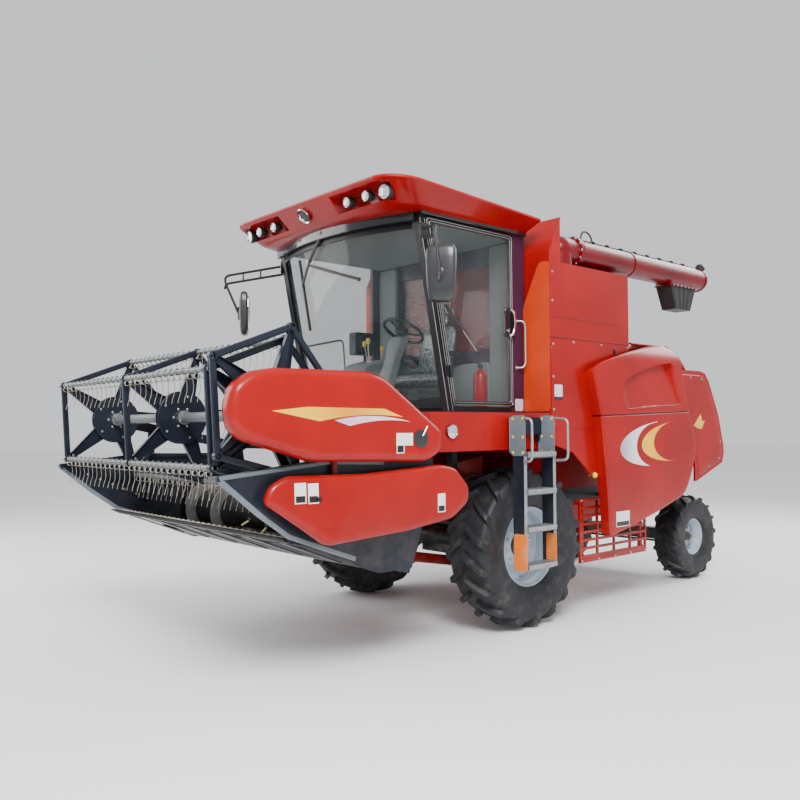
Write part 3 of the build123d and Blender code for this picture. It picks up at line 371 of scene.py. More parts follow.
def painted(name, colour, deep, rough=.34, coat=.22, dust=.2, dust_top=1.3, marks=None):
    """Sprayed paint: two shades in broad clouds, orange peel, dust low down and on faces that look up."""
    f = Finish(name)
    clouds = f.noise(1.7, 3.0)
    fine = f.noise(38.0, 5.0)
    low = 1 - f.axis(2).band(.25, dust_top)
    settled = f.facing_up().band(.55, 1.0) * .35
    film = (low * .75 + settled) * f.noise(6.0, 6.0, .65).band(.38, .72) * dust
    base = f.mix(clouds.band(.3, .7), deep, colour)
    if marks:
        base = marks(f, base, f.axis(1) - float(SHIFT[1]), f.axis(2))
    colour_now = f.mix(film, base, DUST)
    peel = f.noise(620.0, 1.0)
    return f.surface(base=colour_now, rough=film * .5 + fine * .06 + (rough - .03), coat=coat, coat_rough=.08,
                     specular=.22, normal=f.bump(peel, .05, .0006))


def grained(name, clouds, first, second, grain, rough, bump, constants):
    """Two shades in clouds, under a fine grain that varies the roughness and, with a bump, the surface."""
    f = Finish(name)
    grain = f.noise(*grain)
    if bump:
        constants = {**constants, "normal": f.bump(grain, *bump)}
    return f.surface(base=f.mix(f.noise(*clouds), first, second),
                     rough=grain * rough[0] + rough[1], **constants)


def make_red_paint():
    return marked_red("Red_Paint", None)


def marked_red(name, marks):
    tone = settings().paint
    return painted(name, rgb(*tone), rgb(*(v * DEEP_SHARE for v in tone)), marks=marks)


YELLOW, ORANGE = rgb(.9, .5, .02), rgb(.85, .16, .01)
WHITE, BLACK = rgb(.82, .82, .82), rgb(.015, .015, .016)


def label(f, base, p, q, low, high, foot=0.0):
    """A blank white sticker whose foot is black."""
    base = f.mix(f.plate(p, q, low, high), base, WHITE)
    return f.mix(f.plate(p, q, (low[0] + .006, low[1] + .006), (high[0] - .006, low[1] + foot)), base, BLACK)


def make_reel_cover_paint():
    def marks(f, base, y, z):
        left, right, foot = (-2.633, 1.718), (-1.643, 1.686), (-2.299, 1.658)
        leaf = ((1 - f.over(y, z, left, (-2.386, 1.743))) * (1 - f.over(y, z, (-2.386, 1.743), (-1.8, 1.738)))
                * (1 - f.over(y, z, (-1.8, 1.738), right)) * f.over(y, z, left, foot)
                * f.over(y, z, foot, right, .024))
        fade = f.mix(y.band(-2.45, -2.05), YELLOW, f.mix(y.band(-2.1, -1.7), rgb(.72, .28, .02), YELLOW))
        base = f.mix(leaf, base, fade)
        left, right, foot = (-2.191, 1.664), (-1.58, 1.656), (-2.074, 1.63)
        leaf = ((1 - f.over(y, z, left, right, .031)) * f.over(y, z, left, foot)
                * f.over(y, z, foot, right, .021))
        base = f.mix(leaf, base, f.mix(y.band(-2.15, -1.7), rgb(.62, .45, .62), rgb(.8, .6, .66)))
        base = label(f, base, y, z, (-1.7, 1.502), (-1.557, 1.582))
        return label(f, base, y, z, (-1.697, 1.452), (-1.63, 1.504), .05)
    return marked_red("Reel_Cover_Paint", marks)


def make_header_cover_paint():
    def marks(f, base, y, z):
        base = label(f, base, y, z, (-2.437, 1.172), (-2.36, 1.294), .046)
        base = label(f, base, y, z, (-2.347, 1.168), (-2.276, 1.288), .046)
        return label(f, base, y, z, (-1.311, 1.044), (-1.242, 1.17), .045)
    return marked_red("Header_Cover_Paint", marks)


# Each sickle's outer and inner oval as (centre, half, tilt), and the line through its tips
SILVER = ((1.72, 1.462), (.7, .205), .07), ((1.61, 1.448), (.33, .203), .06), ((1.6, 1.2), (1.625, 1.7))
GOLD = ((2.0, 1.48), (.64, .19), .06), ((1.965, 1.478), (.405, .19), .05), ((1.99, 1.2), (1.95, 1.75))


def sickle(f, p, q, outer, inner, tips):
    """1 between two ovals, in front of the line through the tips where they meet."""
    return f.oval(p, q, *outer) * (1 - f.oval(p, q, *inner)) * f.over(p, q, *tips)


def make_side_panel_paint():
    def marks(f, base, y, z):
        # Silver print whose grey-blue front end and whiter rear are painted shading
        silver = f.mix(y.band(1.02, 1.3), rgb(.36, .36, .42), rgb(.78, .76, .8))
        base = f.mix(sickle(f, y, z, *SILVER), base, silver)
        base = f.mix(sickle(f, y, z, *GOLD), base, f.mix(y.band(1.5, 1.9), YELLOW, ORANGE))
        return label(f, base, y, z, (.96, .738), (1.165, .872), .045)
    return marked_red("Side_Panel_Paint", marks)


def make_shadow_red():
    tone = settings().paint
    return painted("Shadow_Red", rgb(tone[0] * .55, tone[1] * .5, tone[2] * .7),
                   rgb(tone[0] * .4, tone[1] * .4, tone[2] * .6))


def make_pillar_paint():
    def marks(f, base, y, z):
        # Where y > 0, on the B pillars, the black turns purple-maroon: a painted reflection of the red tank
        return f.mix(y.band(-.02, .02), base, rgb(.05, .012, .032))
    return painted("Pillar_Paint", rgb(.008, .008, .01), rgb(.005, .005, .007), .42, .05, .1, 1.2, marks)


def make_reflector_orange():
    f = Finish("Reflector_Orange")
    cells = f.node("ShaderNodeTexVoronoi", {"feature": "DISTANCE_TO_EDGE"},
                   {"Vector": f.place(), "Scale": 260.0}, output="Distance")
    return f.surface(base=f.mix(cells.band(0.0, .3), rgb(.7, .14, .01), rgb(.9, .26, .02)),
                     rough=f.noise(60.0) * .1 + .2, coat=.5, normal=f.bump(cells, .3, .0005))


def make_zinc_steel():
    f = Finish("Zinc_Steel")
    cell = f.node("ShaderNodeTexVoronoi", {"feature": "F1"}, {"Vector": f.place(), "Scale": 90.0},
                  output="Color")
    shade = f.node("ShaderNodeSeparateXYZ", {}, {"Vector": cell}, output=0)
    base = f.mix(shade, rgb(.34, .35, .36), rgb(.56, .57, .58))
    rust = f.noise(24.0, 6.0, .7).band(.62, .8) * .5
    return f.surface(base=f.mix(rust, base, rgb(.16, .09, .05)), metal=1 - rust * .8,
                     rough=shade * .2 + .32 + rust * .3, normal=f.bump(f.noise(160.0), .15, .0006))


def make_galvanised():
    f = Finish("Galvanised")
    spangle = f.node("ShaderNodeTexVoronoi", {"feature": "F1"}, {"Vector": f.place(), "Scale": 55.0},
                     output="Color")
    shade = f.node("ShaderNodeSeparateXYZ", {}, {"Vector": spangle}, output=0) * .35 + f.noise(5.0, 6.0) * .65
    grime = f.noise(14.0, 6.0, .7).band(.5, .75) * .5
    base = f.mix(grime, f.mix(shade, rgb(.24, .25, .27), rgb(.44, .45, .47)), rgb(.1, .09, .08))
    return f.surface(base=base, metal=.75 - grime * .5, rough=shade * .15 + .38 + grime * .2,
                     normal=f.bump(f.noise(160.0), .12, .0006))


def make_spring_wire():
    f = Finish("Spring_Wire")
    stain = f.noise(30.0, 5.0, .65)
    return f.surface(base=f.mix(stain.band(.35, .75), rgb(.44, .42, .35), rgb(.2, .17, .12)), metal=.4,
                     rough=stain * .2 + .3)


def make_bare_steel():
    f = Finish("Bare_Steel")
    scratch = f.noise(60.0, 4.0, .6, (1, 1, 14))
    return f.surface(base=f.mix(scratch, rgb(.38, .38, .37), rgb(.62, .61, .59)), metal=.95,
                     rough=scratch * .25 + .28)


def make_worn_auger():
    f = Finish("Worn_Auger")
    wear = f.noise(7.0, 8.0, .7).band(.34, .55)
    streak = f.noise(40.0, 5.0, .6, (6, 1, 1))
    base = f.mix(wear, rgb(.14, .145, .15), f.mix(streak, rgb(.42, .42, .41), rgb(.8, .8, .78)))
    return f.surface(base=base, metal=wear * .75, rough=.5 - wear * .14 + streak * .08,
                     normal=f.bump(streak, .2, .001))


def make_tyre_rubber():
    f = Finish("Tyre_Rubber")
    grit = f.noise(240.0, 6.0, .7)
    mud = f.noise(9.0, 7.0, .68).band(.46, .7) * (1 - f.axis(2).band(.5, 1.35) * .6) * .2
    base = f.mix(mud, f.mix(f.noise(3.0), rgb(.007, .008, .011), rgb(.015, .017, .021)), rgb(.2, .17, .13))
    return f.surface(base=base, rough=mud * .3 + grit * .1 + .5, specular=.35,
                     normal=f.bump(grit, .25, .0012))


def make_glass():
    f = Finish("Cab_Glass")
    film = f.noise(2.2, 4.0).band(.35, .8)
    base = f.mix(film, rgb(.03, .06, .065), rgb(.08, .11, .115))
    return f.surface(base=base, rough=film * .03 + .02, alpha=film * .05 + .13, specular=.9)


def make_seat_cloth():
    f = Finish("Seat_Cloth")
    threads = f.node("ShaderNodeTexWave", {"wave_type": "BANDS"},
                     {"Vector": f.place(), "Scale": 160.0, "Distortion": 2.0})
    creases = f.node("ShaderNodeTexVoronoi", {"feature": "DISTANCE_TO_EDGE"},
                     {"Vector": f.place((1, 1, .6)), "Scale": 16.0}, output="Distance")
    folds = creases.band(0.0, .1) + threads * .04
    glint = 1 - creases.band(.01, .06)
    return f.surface(base=f.mix(glint * .4, f.mix(threads * .4, rgb(.08, .09, .095), rgb(.16, .17, .18)),
                                rgb(.6, .66, .66)), rough=.45 - glint * .25, coat=.8, coat_rough=.12,
                     normal=f.bump(folds, .5, .006))


def make_cast_iron():
    f = Finish("Cast_Iron")
    grain = f.noise(120.0, 7.0, .7)
    return f.surface(base=f.mix(grain, rgb(.03, .03, .03), rgb(.07, .065, .06)), metal=.5,
                     rough=grain * .2 + .55, normal=f.bump(grain, .5, .002))


def make_lamp_lens():
    f = Finish("Lamp_Lens")
    cell = f.node("ShaderNodeTexVoronoi", {"feature": "F1"}, {"Vector": f.place(), "Scale": 70.0},
                  output="Distance")
    return f.surface(base=f.mix(cell, rgb(.75, .77, .8), rgb(.35, .37, .4)), metal=.55, rough=.12, coat=1.0,
                     coat_rough=.03, normal=f.bump(cell, .5, .003))


NODE_FINISHES = {
    "navy_paint": ("reel_frame", "reel_ring", "header_body", "ladder", "reel_arms"),
    "black_gloss": ("cab_door",),
    "black_paint": ("front_axle", "rear_axle", "knuckle_left", "knuckle_right", "tie_rod",
                    "cutterbar", "main_frame"),
    "shadow_red": ("reel_barrels", "lift_barrels"),
    "pillar_paint": ("cab_frame",),
    "worn_auger": ("header_auger",),
    "zinc_steel": ("tine_bar_1", "tine_bar_2", "tine_bar_3", "tine_bar_4", "tine_bar_5"),
    "chrome": ("lift_rods", "reel_rods"),
    "rim_paint": ("front_rim_left", "front_rim_right", "rear_rim_left", "rear_rim_right"),
    "tyre_rubber": ("front_tyre_left", "front_tyre_right", "rear_tyre_left", "rear_tyre_right"),
    "glass": ("cab_glass", "door_glass"),
    "cab_trim": ("steering_console",),
    "seat_cloth": ("operator_seat",),
    "black_plastic": ("mirrors",),
    "spout_rubber": ("unloading_spout",),
    "tube_paint": ("unloading_tube",),
    "cast_iron": ("engine_block",),
    "lamp_lens": ("roof_lamps",),
}


class HARVESTER_OT_node_finishes(bpy.types.Operator):
    """Give every CAD node its finish"""
    bl_idname = "harvester.node_finishes"
    bl_label = "Node finishes"

    def execute(self, context):
        named = {node: finish for finish, nodes in NODE_FINISHES.items() for node in nodes}
        for name, piece in frame["nodes"].items():
            material = finish_of(named.get(name, "red_paint"))
            piece.data.materials.clear()
            piece.data.materials.append(material)
        return {"FINISHED"}


X, Y, Z = (1, 0, 0), (0, 1, 0), (0, 0, 1)


# Forms, worked out as whole arrays in metres, in the drawing's own coordinates

def ring(radius, steps, turn=0.0):
    """A circle of (a, b) pairs."""
    angle = np.linspace(0, 2 * np.pi, steps, endpoint=False) + turn
    return np.stack((np.cos(angle), np.sin(angle)), -1) * radius


def bevelled(width, height, cut):
    """A rectangle of (a, b) pairs with its corners cut off."""
    a, b = width / 2, height / 2
    return np.array([(cut - a, -b), (a - cut, -b), (a, cut - b), (a, b - cut), (a - cut, b), (cut - a, b),
                     (-a, b - cut), (-a, cut - b)])


def eased(points, reach, closed=True, steps=6):
    """Each corner c gives way to the curve (1-t)^2 a + 2t(1-t) c + t^2 b, whose ends a and b lie
    reach from c on its two runs, or at their middles."""
    c = np.asarray(points, float)
    back, on = np.roll(c, 1, 0) - c, np.roll(c, -1, 0) - c
    reach = np.broadcast_to(np.asarray(reach, float), len(c))
    share = [np.minimum(reach / np.linalg.norm(run, axis=1).clip(1e-9), .5)[:, None] for run in (back, on)]
    a, b = c + back * share[0], c + on * share[1]
    t = np.linspace(0, 1, steps)[None, :, None]
    curve = ((1 - t) ** 2 * a[:, None] + 2 * t * (1 - t) * c[:, None] + t ** 2 * b[:, None])
    flat = curve.reshape(-1, c.shape[1])
    return flat if closed else np.vstack((c[:1], flat[steps:-steps], c[-1:]))


def spread(points, count):
    """The same closed line with count points at equal distances along it."""
    line = np.vstack((points, points[:1]))
    travelled = np.concatenate(([0], np.cumsum(np.linalg.norm(np.diff(line, axis=0), axis=1))))
    wanted = np.linspace(0, travelled[-1], count, endpoint=False)
    return np.stack([np.interp(wanted, travelled, column) for column in line.T], -1)


def carried(path, section, up=Z):
    """A section of (across, up) pairs stands square to a path at each of its points."""
    path = np.asarray(path, float)
    along = np.gradient(path, axis=0)
    along /= np.linalg.norm(along, axis=1, keepdims=True)
    side = np.cross(along, np.asarray(up, float))
    side /= np.linalg.norm(side, axis=1, keepdims=True)
    top = np.cross(side, along)
    return path[:, None] + section[:, :1] * side[:, None] + section[:, 1:] * top[:, None]


def bar(path, width, height, cut, up=Z):
    """A bevelled rectangle carried along a path."""
    return carried(path, bevelled(width, height, cut), up)


def square_to(axis):
    """An axis's unit vector and two more, square to it and to each other."""
    axis = np.asarray(axis, float) / np.linalg.norm(axis)
    helper = Z if abs(axis[2]) < .9 else X
    side = np.cross(helper, axis)
    side /= np.linalg.norm(side)
    return axis, side, np.cross(axis, side)


def turned(profile, centre, axis, steps):
    """A profile of (along, radius) pairs turned once round an axis through centre."""
    axis, side, up = square_to(axis)
    circle = ring(1.0, steps)
    around = circle[:, :1] * side + circle[:, 1:] * up
    profile = np.asarray(profile, float)
    return np.asarray(centre) + profile[:, None, :1] * axis + profile[:, None, 1:] * around


def repeated(points, places):
    """The same grid at several places."""
    return np.asarray(points)[None] + np.asarray(places, float)[:, None, None]


def bolts(places, axis, radius, rise=None):
    """Hexagonal heads on round washers, standing along axis at each place."""
    rise = radius * .75 if rise is None else rise
    washer = turned([(0, radius * 1.45), (rise * .25, radius * 1.4)], (0, 0, 0), axis, 10)
    head = turned([(0, radius), (rise * .85, radius), (rise, radius * .82)], (0, 0, 0), axis, 6)
    return [repeated(washer, places), repeated(head, places)]


def inward(outline):
    """Unit normals of a closed (p, q) outline, pointing to its inside."""
    run = np.roll(outline, -1, 0) - np.roll(outline, 1, 0)
    normal = np.stack((-run[:, 1], run[:, 0]), -1)
    normal /= np.linalg.norm(normal, axis=1, keepdims=True).clip(1e-9)
    after = np.roll(outline, -1, 0)
    area = (outline[:, 0] * after[:, 1] - after[:, 0] * outline[:, 1]).sum()
    return normal * np.sign(area)


def pressed(outline, face, back, roll, thick, rings, middle):
    """A pressed sheet over a closed (p, q) outline, as a grid of (depth, p, q): depth = face(p, q)
    drawn in ring by ring to the middle, the rim turned through a quarter circle of radius roll and
    a flange that reaches to the depth back; the inner skin follows, thick behind the outer one."""
    normal = inward(outline)
    middle = np.asarray(middle)
    bend = np.linspace(0, np.pi / 2, 5)
    start = outline + normal * roll
    rows = []
    for share in np.linspace(.96, 0, rings):
        flat = start + (middle - start) * share
        rows.append((flat, face(flat[:, 0], flat[:, 1])))
    for angle in bend[::-1][1:]:
        flat = outline + normal * roll * (1 - math.cos(angle))
        rows.append((flat, face(flat[:, 0], flat[:, 1]) - roll * (1 - math.sin(angle))))
    outer = [np.column_stack((depth, flat)) for flat, depth in rows]
    edge = np.column_stack((np.broadcast_to(back, len(outline)), outline))
    lip = np.column_stack((np.broadcast_to(back, len(outline)), outline + normal * thick))
    inner = []
    for flat, depth in rows[::-1]:
        close = np.linalg.norm(flat - outline, axis=1) < thick
        pulled = np.where(close[:, None], outline + normal * thick, flat)
        inner.append(np.column_stack((depth - thick, pulled)))
    return np.array(outer + [edge, lip] + inner)


def blade(outline, low, high, cut=0.0):
    """A flat plate over a closed (p, q) outline, as a grid of (depth, p, q) from low to high."""
    normal = inward(outline)
    rows = [(low, 0.0), (high - cut, 0.0), (high, cut)] if cut else [(low, 0.0), (high, 0.0)]
    return np.array([np.column_stack((np.full(len(outline), depth), outline + normal * inset))
                     for depth, inset in rows])


def flat_y(outline, low, high, cut=0.0):
    """A plate over a closed (x, z) outline, from y = low to high."""
    return blade(outline, low, high, cut)[..., [1, 0, 2]]


def flat_z(outline, low, high, cut=0.0):
    """A plate over a closed (x, y) outline, from z = low to high."""
    return blade(outline, low, high, cut)[..., [1, 2, 0]]


def plate(a, b, reach=.006, count=28):
    """A rectangle between two corners, as an outline with rounded corners."""
    return spread(eased([a, (b[0], a[1]), b, (a[0], b[1])], reach), count)


def stacked(centre, levels, outline, turn=0.0):
    """An outline of (a, b) pairs at several levels (z, scale a, scale b), turned about the upright axis."""
    c, s = math.cos(turn), math.sin(turn)
    rows = []
    for z, wide, deep in levels:
        a, b = outline[:, 0] * wide, outline[:, 1] * deep
        rows.append(np.column_stack((centre[0] + a * c - b * s, centre[1] + a * s + b * c,
                                     np.full(len(a), z))))
    return np.array(rows)


def loop(points, reach):
    """A closed path with rounded corners whose last point repeats its first."""
    line = eased(points, reach)
    return np.vstack((line, line[:1]))


def mirrored(points):
    """The same points on the machine's other side."""
    return points * np.array([-1, 1, 1])


class Form:
    """The points and faces of one piece, gathered from closed skins."""

    def __init__(self):
        self.points, self.faces, self.total = [], [], 0

    def add(self, *grids, wrap_u=False):
        """Closed skins from grids whose last-but-one axis runs round. Neighbours are joined by quads and
        each open end by a fan to its middle. A skin whose signed volume comes out negative is turned."""
        for grid in grids:
            grid = np.asarray(grid, float)
            skins = grid.reshape((-1,) + grid.shape[-3:])
            count, rows, columns = skins.shape[:3]
            index = np.arange(rows * columns).reshape(rows, columns)
            index = np.hstack((index, index[:, :1]))
            points = skins.reshape(count, -1, 3)
            fans = np.empty((0, 3), int)
            if wrap_u:
                index = np.vstack((index, index[:1]))
            else:
                points = np.concatenate((points, skins[:, [0, -1]].mean(axis=2)), axis=1)
                first = np.full(columns, rows * columns)
                fans = np.vstack((np.stack((index[0, :-1], index[0, 1:], first), -1),
                                  np.stack((index[-1, 1:], index[-1, :-1], first + 1), -1)))
            quads = np.stack((index[:-1, :-1], index[1:, :-1], index[1:, 1:], index[:-1, 1:]),
                             -1).reshape(-1, 4)
            middle = points - points.mean(axis=1, keepdims=True)
            triangles = np.vstack((quads[:, :3], quads[:, [0, 2, 3]], fans))
            a, b, c = (middle[:, triangles[:, corner]] for corner in range(3))
            outwards = (np.cross(a, b) * c).sum(axis=(1, 2)) > 0
            start = self.total + np.arange(count) * points.shape[1]
            for faces in (quads, fans):
                placed = faces[None] + start[:, None, None]
                placed[~outwards] = placed[~outwards][..., ::-1]
                self.faces.append(placed.reshape(-1, faces.shape[1]))
            self.points.append(points.reshape(-1, 3))
            self.total += points.shape[0] * points.shape[1]
        return self

    def both(self, *grids):
        """Skins and their mirror images."""
        return self.add(*grids).add(*[mirrored(np.asarray(grid)) for grid in grids])

    def build(self, name, finish, body="machine", slot=None, replaces=(), smooth=32):
        """The mesh object: it rides on a body and stands for the nodes that it replaces."""
        slot = slot or SLOTS[finish]
        mesh = bpy.data.meshes.new(name)
        points = np.concatenate(self.points) + SHIFT
        faces = [each for each in self.faces if len(each)]
        loops = np.concatenate([each.ravel() for each in faces])
        sizes = np.concatenate([np.full(len(each), each.shape[1]) for each in faces])
        mesh.vertices.add(len(points))
        mesh.vertices.foreach_set("co", points.ravel())
        mesh.loops.add(len(loops))
        mesh.loops.foreach_set("vertex_index", loops)
        mesh.polygons.add(len(sizes))
        mesh.polygons.foreach_set("loop_start", np.concatenate(([0], np.cumsum(sizes)[:-1])))
        mesh.update(calc_edges=True)
        mesh.validate()
        mesh.polygons.foreach_set("use_smooth", np.ones(len(mesh.polygons), bool))
        mesh.set_sharp_from_angle(angle=math.radians(smooth))
        mesh.materials.append(finish_of(finish))
        piece = bpy.data.objects.new(name, mesh)
        bpy.context.collection.objects.link(piece)
        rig.ride(piece, body)
        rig.slot(piece, slot)
        if replaces:
            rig.replaces(piece, *replaces)
        return piece


def build_one(name, finish, *grids, wrap_u=False, **told):
    """One piece built from closed skins."""
    return Form().add(*grids, wrap_u=wrap_u).build(name, finish, **told)


def build_pair(name, finish, *grids, **told):
    """One piece built from closed skins and their mirror images."""
    return Form().both(*grids).build(name, finish, **told)


HEADER_TILT = math.radians(20)
HEADER_ORIGIN = (-1.814, .705)


def on_header(points):
    """Points given as (x, v, w) on the header, v to the rear and w up from its skid, in the machine."""
    x, v, w = np.moveaxis(np.asarray(points, float), -1, 0)
    y = HEADER_ORIGIN[0] + v * math.cos(HEADER_TILT) + w * math.sin(HEADER_TILT)
    z = HEADER_ORIGIN[1] - v * math.sin(HEADER_TILT) + w * math.cos(HEADER_TILT)
    return np.stack((x, y, z), -1)


# Wheels

WHEELS = {
    "front": {"radius": .651, "half": .195, "rim": .345, "rim_half": .165, "lugs": 18, "lug": .042,
              "x": .969, "y": 0.0, "dish": .025, "bolts": 10, "bolt_ring": .135},
    "rear": {"radius": .438, "half": .14, "rim": .215, "rim_half": .115, "lugs": 16, "lug": .026,
             "x": .8, "y": 2.952, "dish": .02, "bolts": 6, "bolt_ring": .085},
}


def wheel_centre(size, sign):
    return np.array((sign * size["x"], size["y"], size["radius"]))


class HARVESTER_OT_tyres(bpy.types.Operator):
    """Drive tyres: a bulged carcass with ribbed sidewalls and slanted lugs that wrap over the shoulders"""
    bl_idname = "harvester.tyres"
    bl_label = "Tyres"

    def execute(self, context):
        for axle, size in WHEELS.items():
            for side, sign in (("left", 1), ("right", -1)):
                form = Form()
                form.add(self.carcass(size, sign), wrap_u=True)
                for flank in (-1, 1):
                    form.add(self.lugs(size, flank, sign))
                form.build(f"{axle}_tyre_{side}_tread".title(), "tyre_rubber", f"{axle}_wheel_{side}",
                           replaces=(f"{axle}_tyre_{side}",), smooth=28)
        return {"FINISHED"}

    def shell(self, size, place):
        """Half of the tyre's section: for place 0 at the tread's middle to 1 at the bead, the distance
        from the middle plane is half the width times a rounded step, and the radius falls from the
        carcass to the bead."""
        carcass, bead = size["radius"] - size["lug"], size["rim"] - .012
        across = np.interp(place, [0, .2, .38, .48, .58, .72, .86, 1],
                           [0, .45, .8, .93, .985, 1, .96, .86]) * size["half"]
        reach = np.interp(place, [0, .2, .38, .48, .58, .72, .86, 1],
                          [1, .985, .95, .89, .78, .52, .22, 0]) * (carcass - bead) + bead
        return across, reach

    def carcass(self, size, sign):
        place = np.linspace(0, 1, 34)
        across, reach = self.shell(size, place)
        ribs = sum(np.exp(-((place - at) / .012) ** 2) for at in (.66, .8, .92)) * .0035
        across = across + ribs
        inside = np.array([[size["rim_half"] - .02, size["rim"] - .03],
                           [-size["rim_half"] + .02, size["rim"] - .03]])
        section = np.vstack((np.column_stack((-across[::-1], reach[::-1])),
                             np.column_stack((across, reach))[1:], inside))
        return turned(section, wheel_centre(size, sign), X, 96)

    def lugs(self, size, flank, sign):
        """Bars whose middle line turns by 0.95 of a lug's pitch while it runs from the tread's middle to
        the sidewall; their height holds over the tread and falls away below the shoulder."""
        count, steps = size["lugs"], 13
        place = np.linspace(.015, .66, steps)
        across, reach = self.shell(size, place)
        slope = np.gradient(np.stack((across, reach), -1), axis=0)
        slope /= np.linalg.norm(slope, axis=1, keepdims=True)
        normal = np.stack((-slope[:, 1], slope[:, 0]), -1)
        height = size["lug"] * np.interp(place, [0, .42, .5, .6, .66], [1, 1, .8, .36, .12])
        pitch = 2 * np.pi / count
        begin = np.arange(count) * pitch + (pitch / 2 if flank > 0 else 0)
        middle = begin[:, None] + .95 * pitch * (place / .66) ** .85
        width = np.interp(place, [0, .1, .45, .66], [.8, 1, 1.25, 1.4]) * size["lug"] * .95
        outline = np.array([(-.78, -.2), (-.5, .86), (-.4, 1.0), (.4, 1.0), (.5, .86), (.78, -.2)])
        lift = height[:, None] * outline[None, :, 1]
        x = across[:, None] + normal[:, None, 0] * lift
        radius = np.minimum(reach[:, None] + normal[:, None, 1] * lift, size["radius"])
        x = np.minimum(x, size["half"] - .0005)
        angle = middle[:, :, None] + (width[:, None] * outline[None, :, 0] / reach[:, None])[None]
        x = np.broadcast_to(flank * sign * x, angle.shape)
        radius = np.broadcast_to(radius, angle.shape)
        grid = np.stack((x, -radius * np.sin(angle), radius * np.cos(angle)), -1)
        return grid + wheel_centre(size, sign)


class HARVESTER_OT_rims(bpy.types.Operator):
    """Dished wheel discs with rolled rim edges, a hub, wheel bolts and a valve"""
    bl_idname = "harvester.rims"
    bl_label = "Rims"

    def execute(self, context):
        for axle, size in WHEELS.items():
            for side, sign in (("left", 1), ("right", -1)):
                centre = wheel_centre(size, sign)
                axis = (sign, 0, 0)
                body = f"{axle}_wheel_{side}"
                form = Form()
                form.add(turned(self.barrel(size), centre, axis, 96), wrap_u=True)
                form.add(turned(self.disc(size), centre, axis, 96), wrap_u=True)
                form.build(f"{axle}_Rim_{side}".title(), "rim_paint", body,
                           replaces=(f"{axle}_rim_{side}",), smooth=30)
                self.fittings(size, centre, axis).build(f"{axle}_Rim_Bolts_{side}".title(),
                                                        "zinc_steel", body)
                self.hub(size, centre, axis).build(f"{axle}_Hub_{side}".title(), "black_paint", body,
                                                   slot="axle_paint")
        return {"FINISHED"}

    def barrel(self, size):
        h, r = size["rim_half"], size["rim"]
        edge = [(h - .012, r + .004), (h - .003, r + .005), (h, r - .002), (h - .004, r - .012),
                (h - .012, r - .02), (h - .02, r - .035), (h - .05, r - .042), (h - .075, r - .062),
                (h * .1, r - .068)]
        inner = [(-a, b) for a, b in edge[::-1]]
        outer = [(-a, b + .008) for a, b in edge[4:]] + [(a, b + .008) for a, b in edge[4:][::-1]]
        return np.array(edge + inner + outer)

    def disc(self, size):
        r, d = size["rim"] - .066, size["dish"]
        face = [(d + .004, r * .22), (d + .004, r * .5), (d - .002, r * .56), (d - .03, r * .66),
                (d - .05, r * .78), (d - .052, r * .88), (d - .04, r * .97), (d - .034, r)]
        return np.array(face + [(a - .01, b) for a, b in face[::-1]])

    def fittings(self, size, centre, axis):
        form = Form()
        circle = ring(size["bolt_ring"], size["bolts"], .2)
        places = np.column_stack((np.full(len(circle), axis[0] * (size["dish"] + .003)), circle)) + centre
        form.add(*bolts(places, axis, .014, .014))
        valve = centre + np.array((axis[0] * (size["dish"] - .03), .05, -(size["rim"] - .085)))
        form.add(turned([(0, .006), (.04, .005), (.04, .003)], valve, axis, 10))
        return form

    def hub(self, size, centre, axis):
        r, d = size["rim"] - .066, size["dish"]
        profile = [(-.12, r * .2), (d + .012, r * .34), (d + .02, r * .33), (d + .024, r * .2),
                   (d + .05, r * .18), (d + .056, r * .13)]
        return Form().add(turned(profile, centre, axis, 40))


# Red skins

def crowned(level, middle, spans, rise):
    """A face that stands at level in its middle and falls by rise times the squared distance from it,
    measured in the two spans."""
    return lambda p, q: level - rise * (((p - middle[0]) / spans[0]) ** 2 + ((q - middle[1]) / spans[1]) ** 2)


class HARVESTER_OT_reel_cover(bpy.types.Operator):
    """Rounded cover over the reel's drive, with its flash of colour, seal, posts, crank and blank labels"""
    bl_idname = "harvester.reel_cover"
    bl_label = "Reel cover"

    OUTLINE = [(-2.897, 1.735), (-2.862, 1.86), (-2.745, 1.94), (-2.6, 1.968), (-1.9, 1.974), (-1.775, 1.94),
               (-1.272, 1.602), (-1.264, 1.5), (-1.295, 1.436), (-1.409, 1.39), (-2.34, 1.419),
               (-2.81, 1.557), (-2.878, 1.62)]

    def execute(self, context):
        outline = spread(eased(self.OUTLINE, .045), 220)
        face = crowned(1.448, (-2.1, 1.7), (1.2, .4), .006)
        build_one("Reel_Cover", "reel_cover_paint",
                  pressed(outline, face, 1.344, .05, .005, 16, (-2.1, 1.69)), body="reel_arm",
                  replaces=("upper_cover",))
        bead = outline + inward(outline) * .006
        path = np.column_stack((np.full(len(bead), 1.352), bead))
        build_one("Reel_Cover_Seal", "black_plastic", bar(np.vstack((path, path[:1])), .012, .02, .003, X),
                  body="reel_arm")
        self.posts()
        self.crank()
        return {"FINISHED"}

    def posts(self):
        form = Form()
        for share in (.15, .85):
            y, z = -1.325 - share * 1.146, 1.47 + share * .229
            form.add(turned([(1.337, .016), (1.43, .016)], (0, y, z), X, 20))
        form.build("Reel_Cover_Posts", "black_paint", "reel_arm")

    def crank(self):
        place = np.array((1.4465, -1.486, 1.545))
        build_one("Crank_Boss", "black_plastic",
                  turned([(0, .06), (.004, .062), (.007, .056), (.007, .02)], place, X, 36),
                  turned([(0, .022), (.008, .02), (.01, .012)], place, X, 24), body="reel_arm")
        path = eased([place + (.003, 0, 0), place + (.006, .02, .03), place + (.006, .055, .082)], .01, False)
        build_one("Crank_Handle", "chrome", carried(path, ring(.0045, 12), X), body="reel_arm")


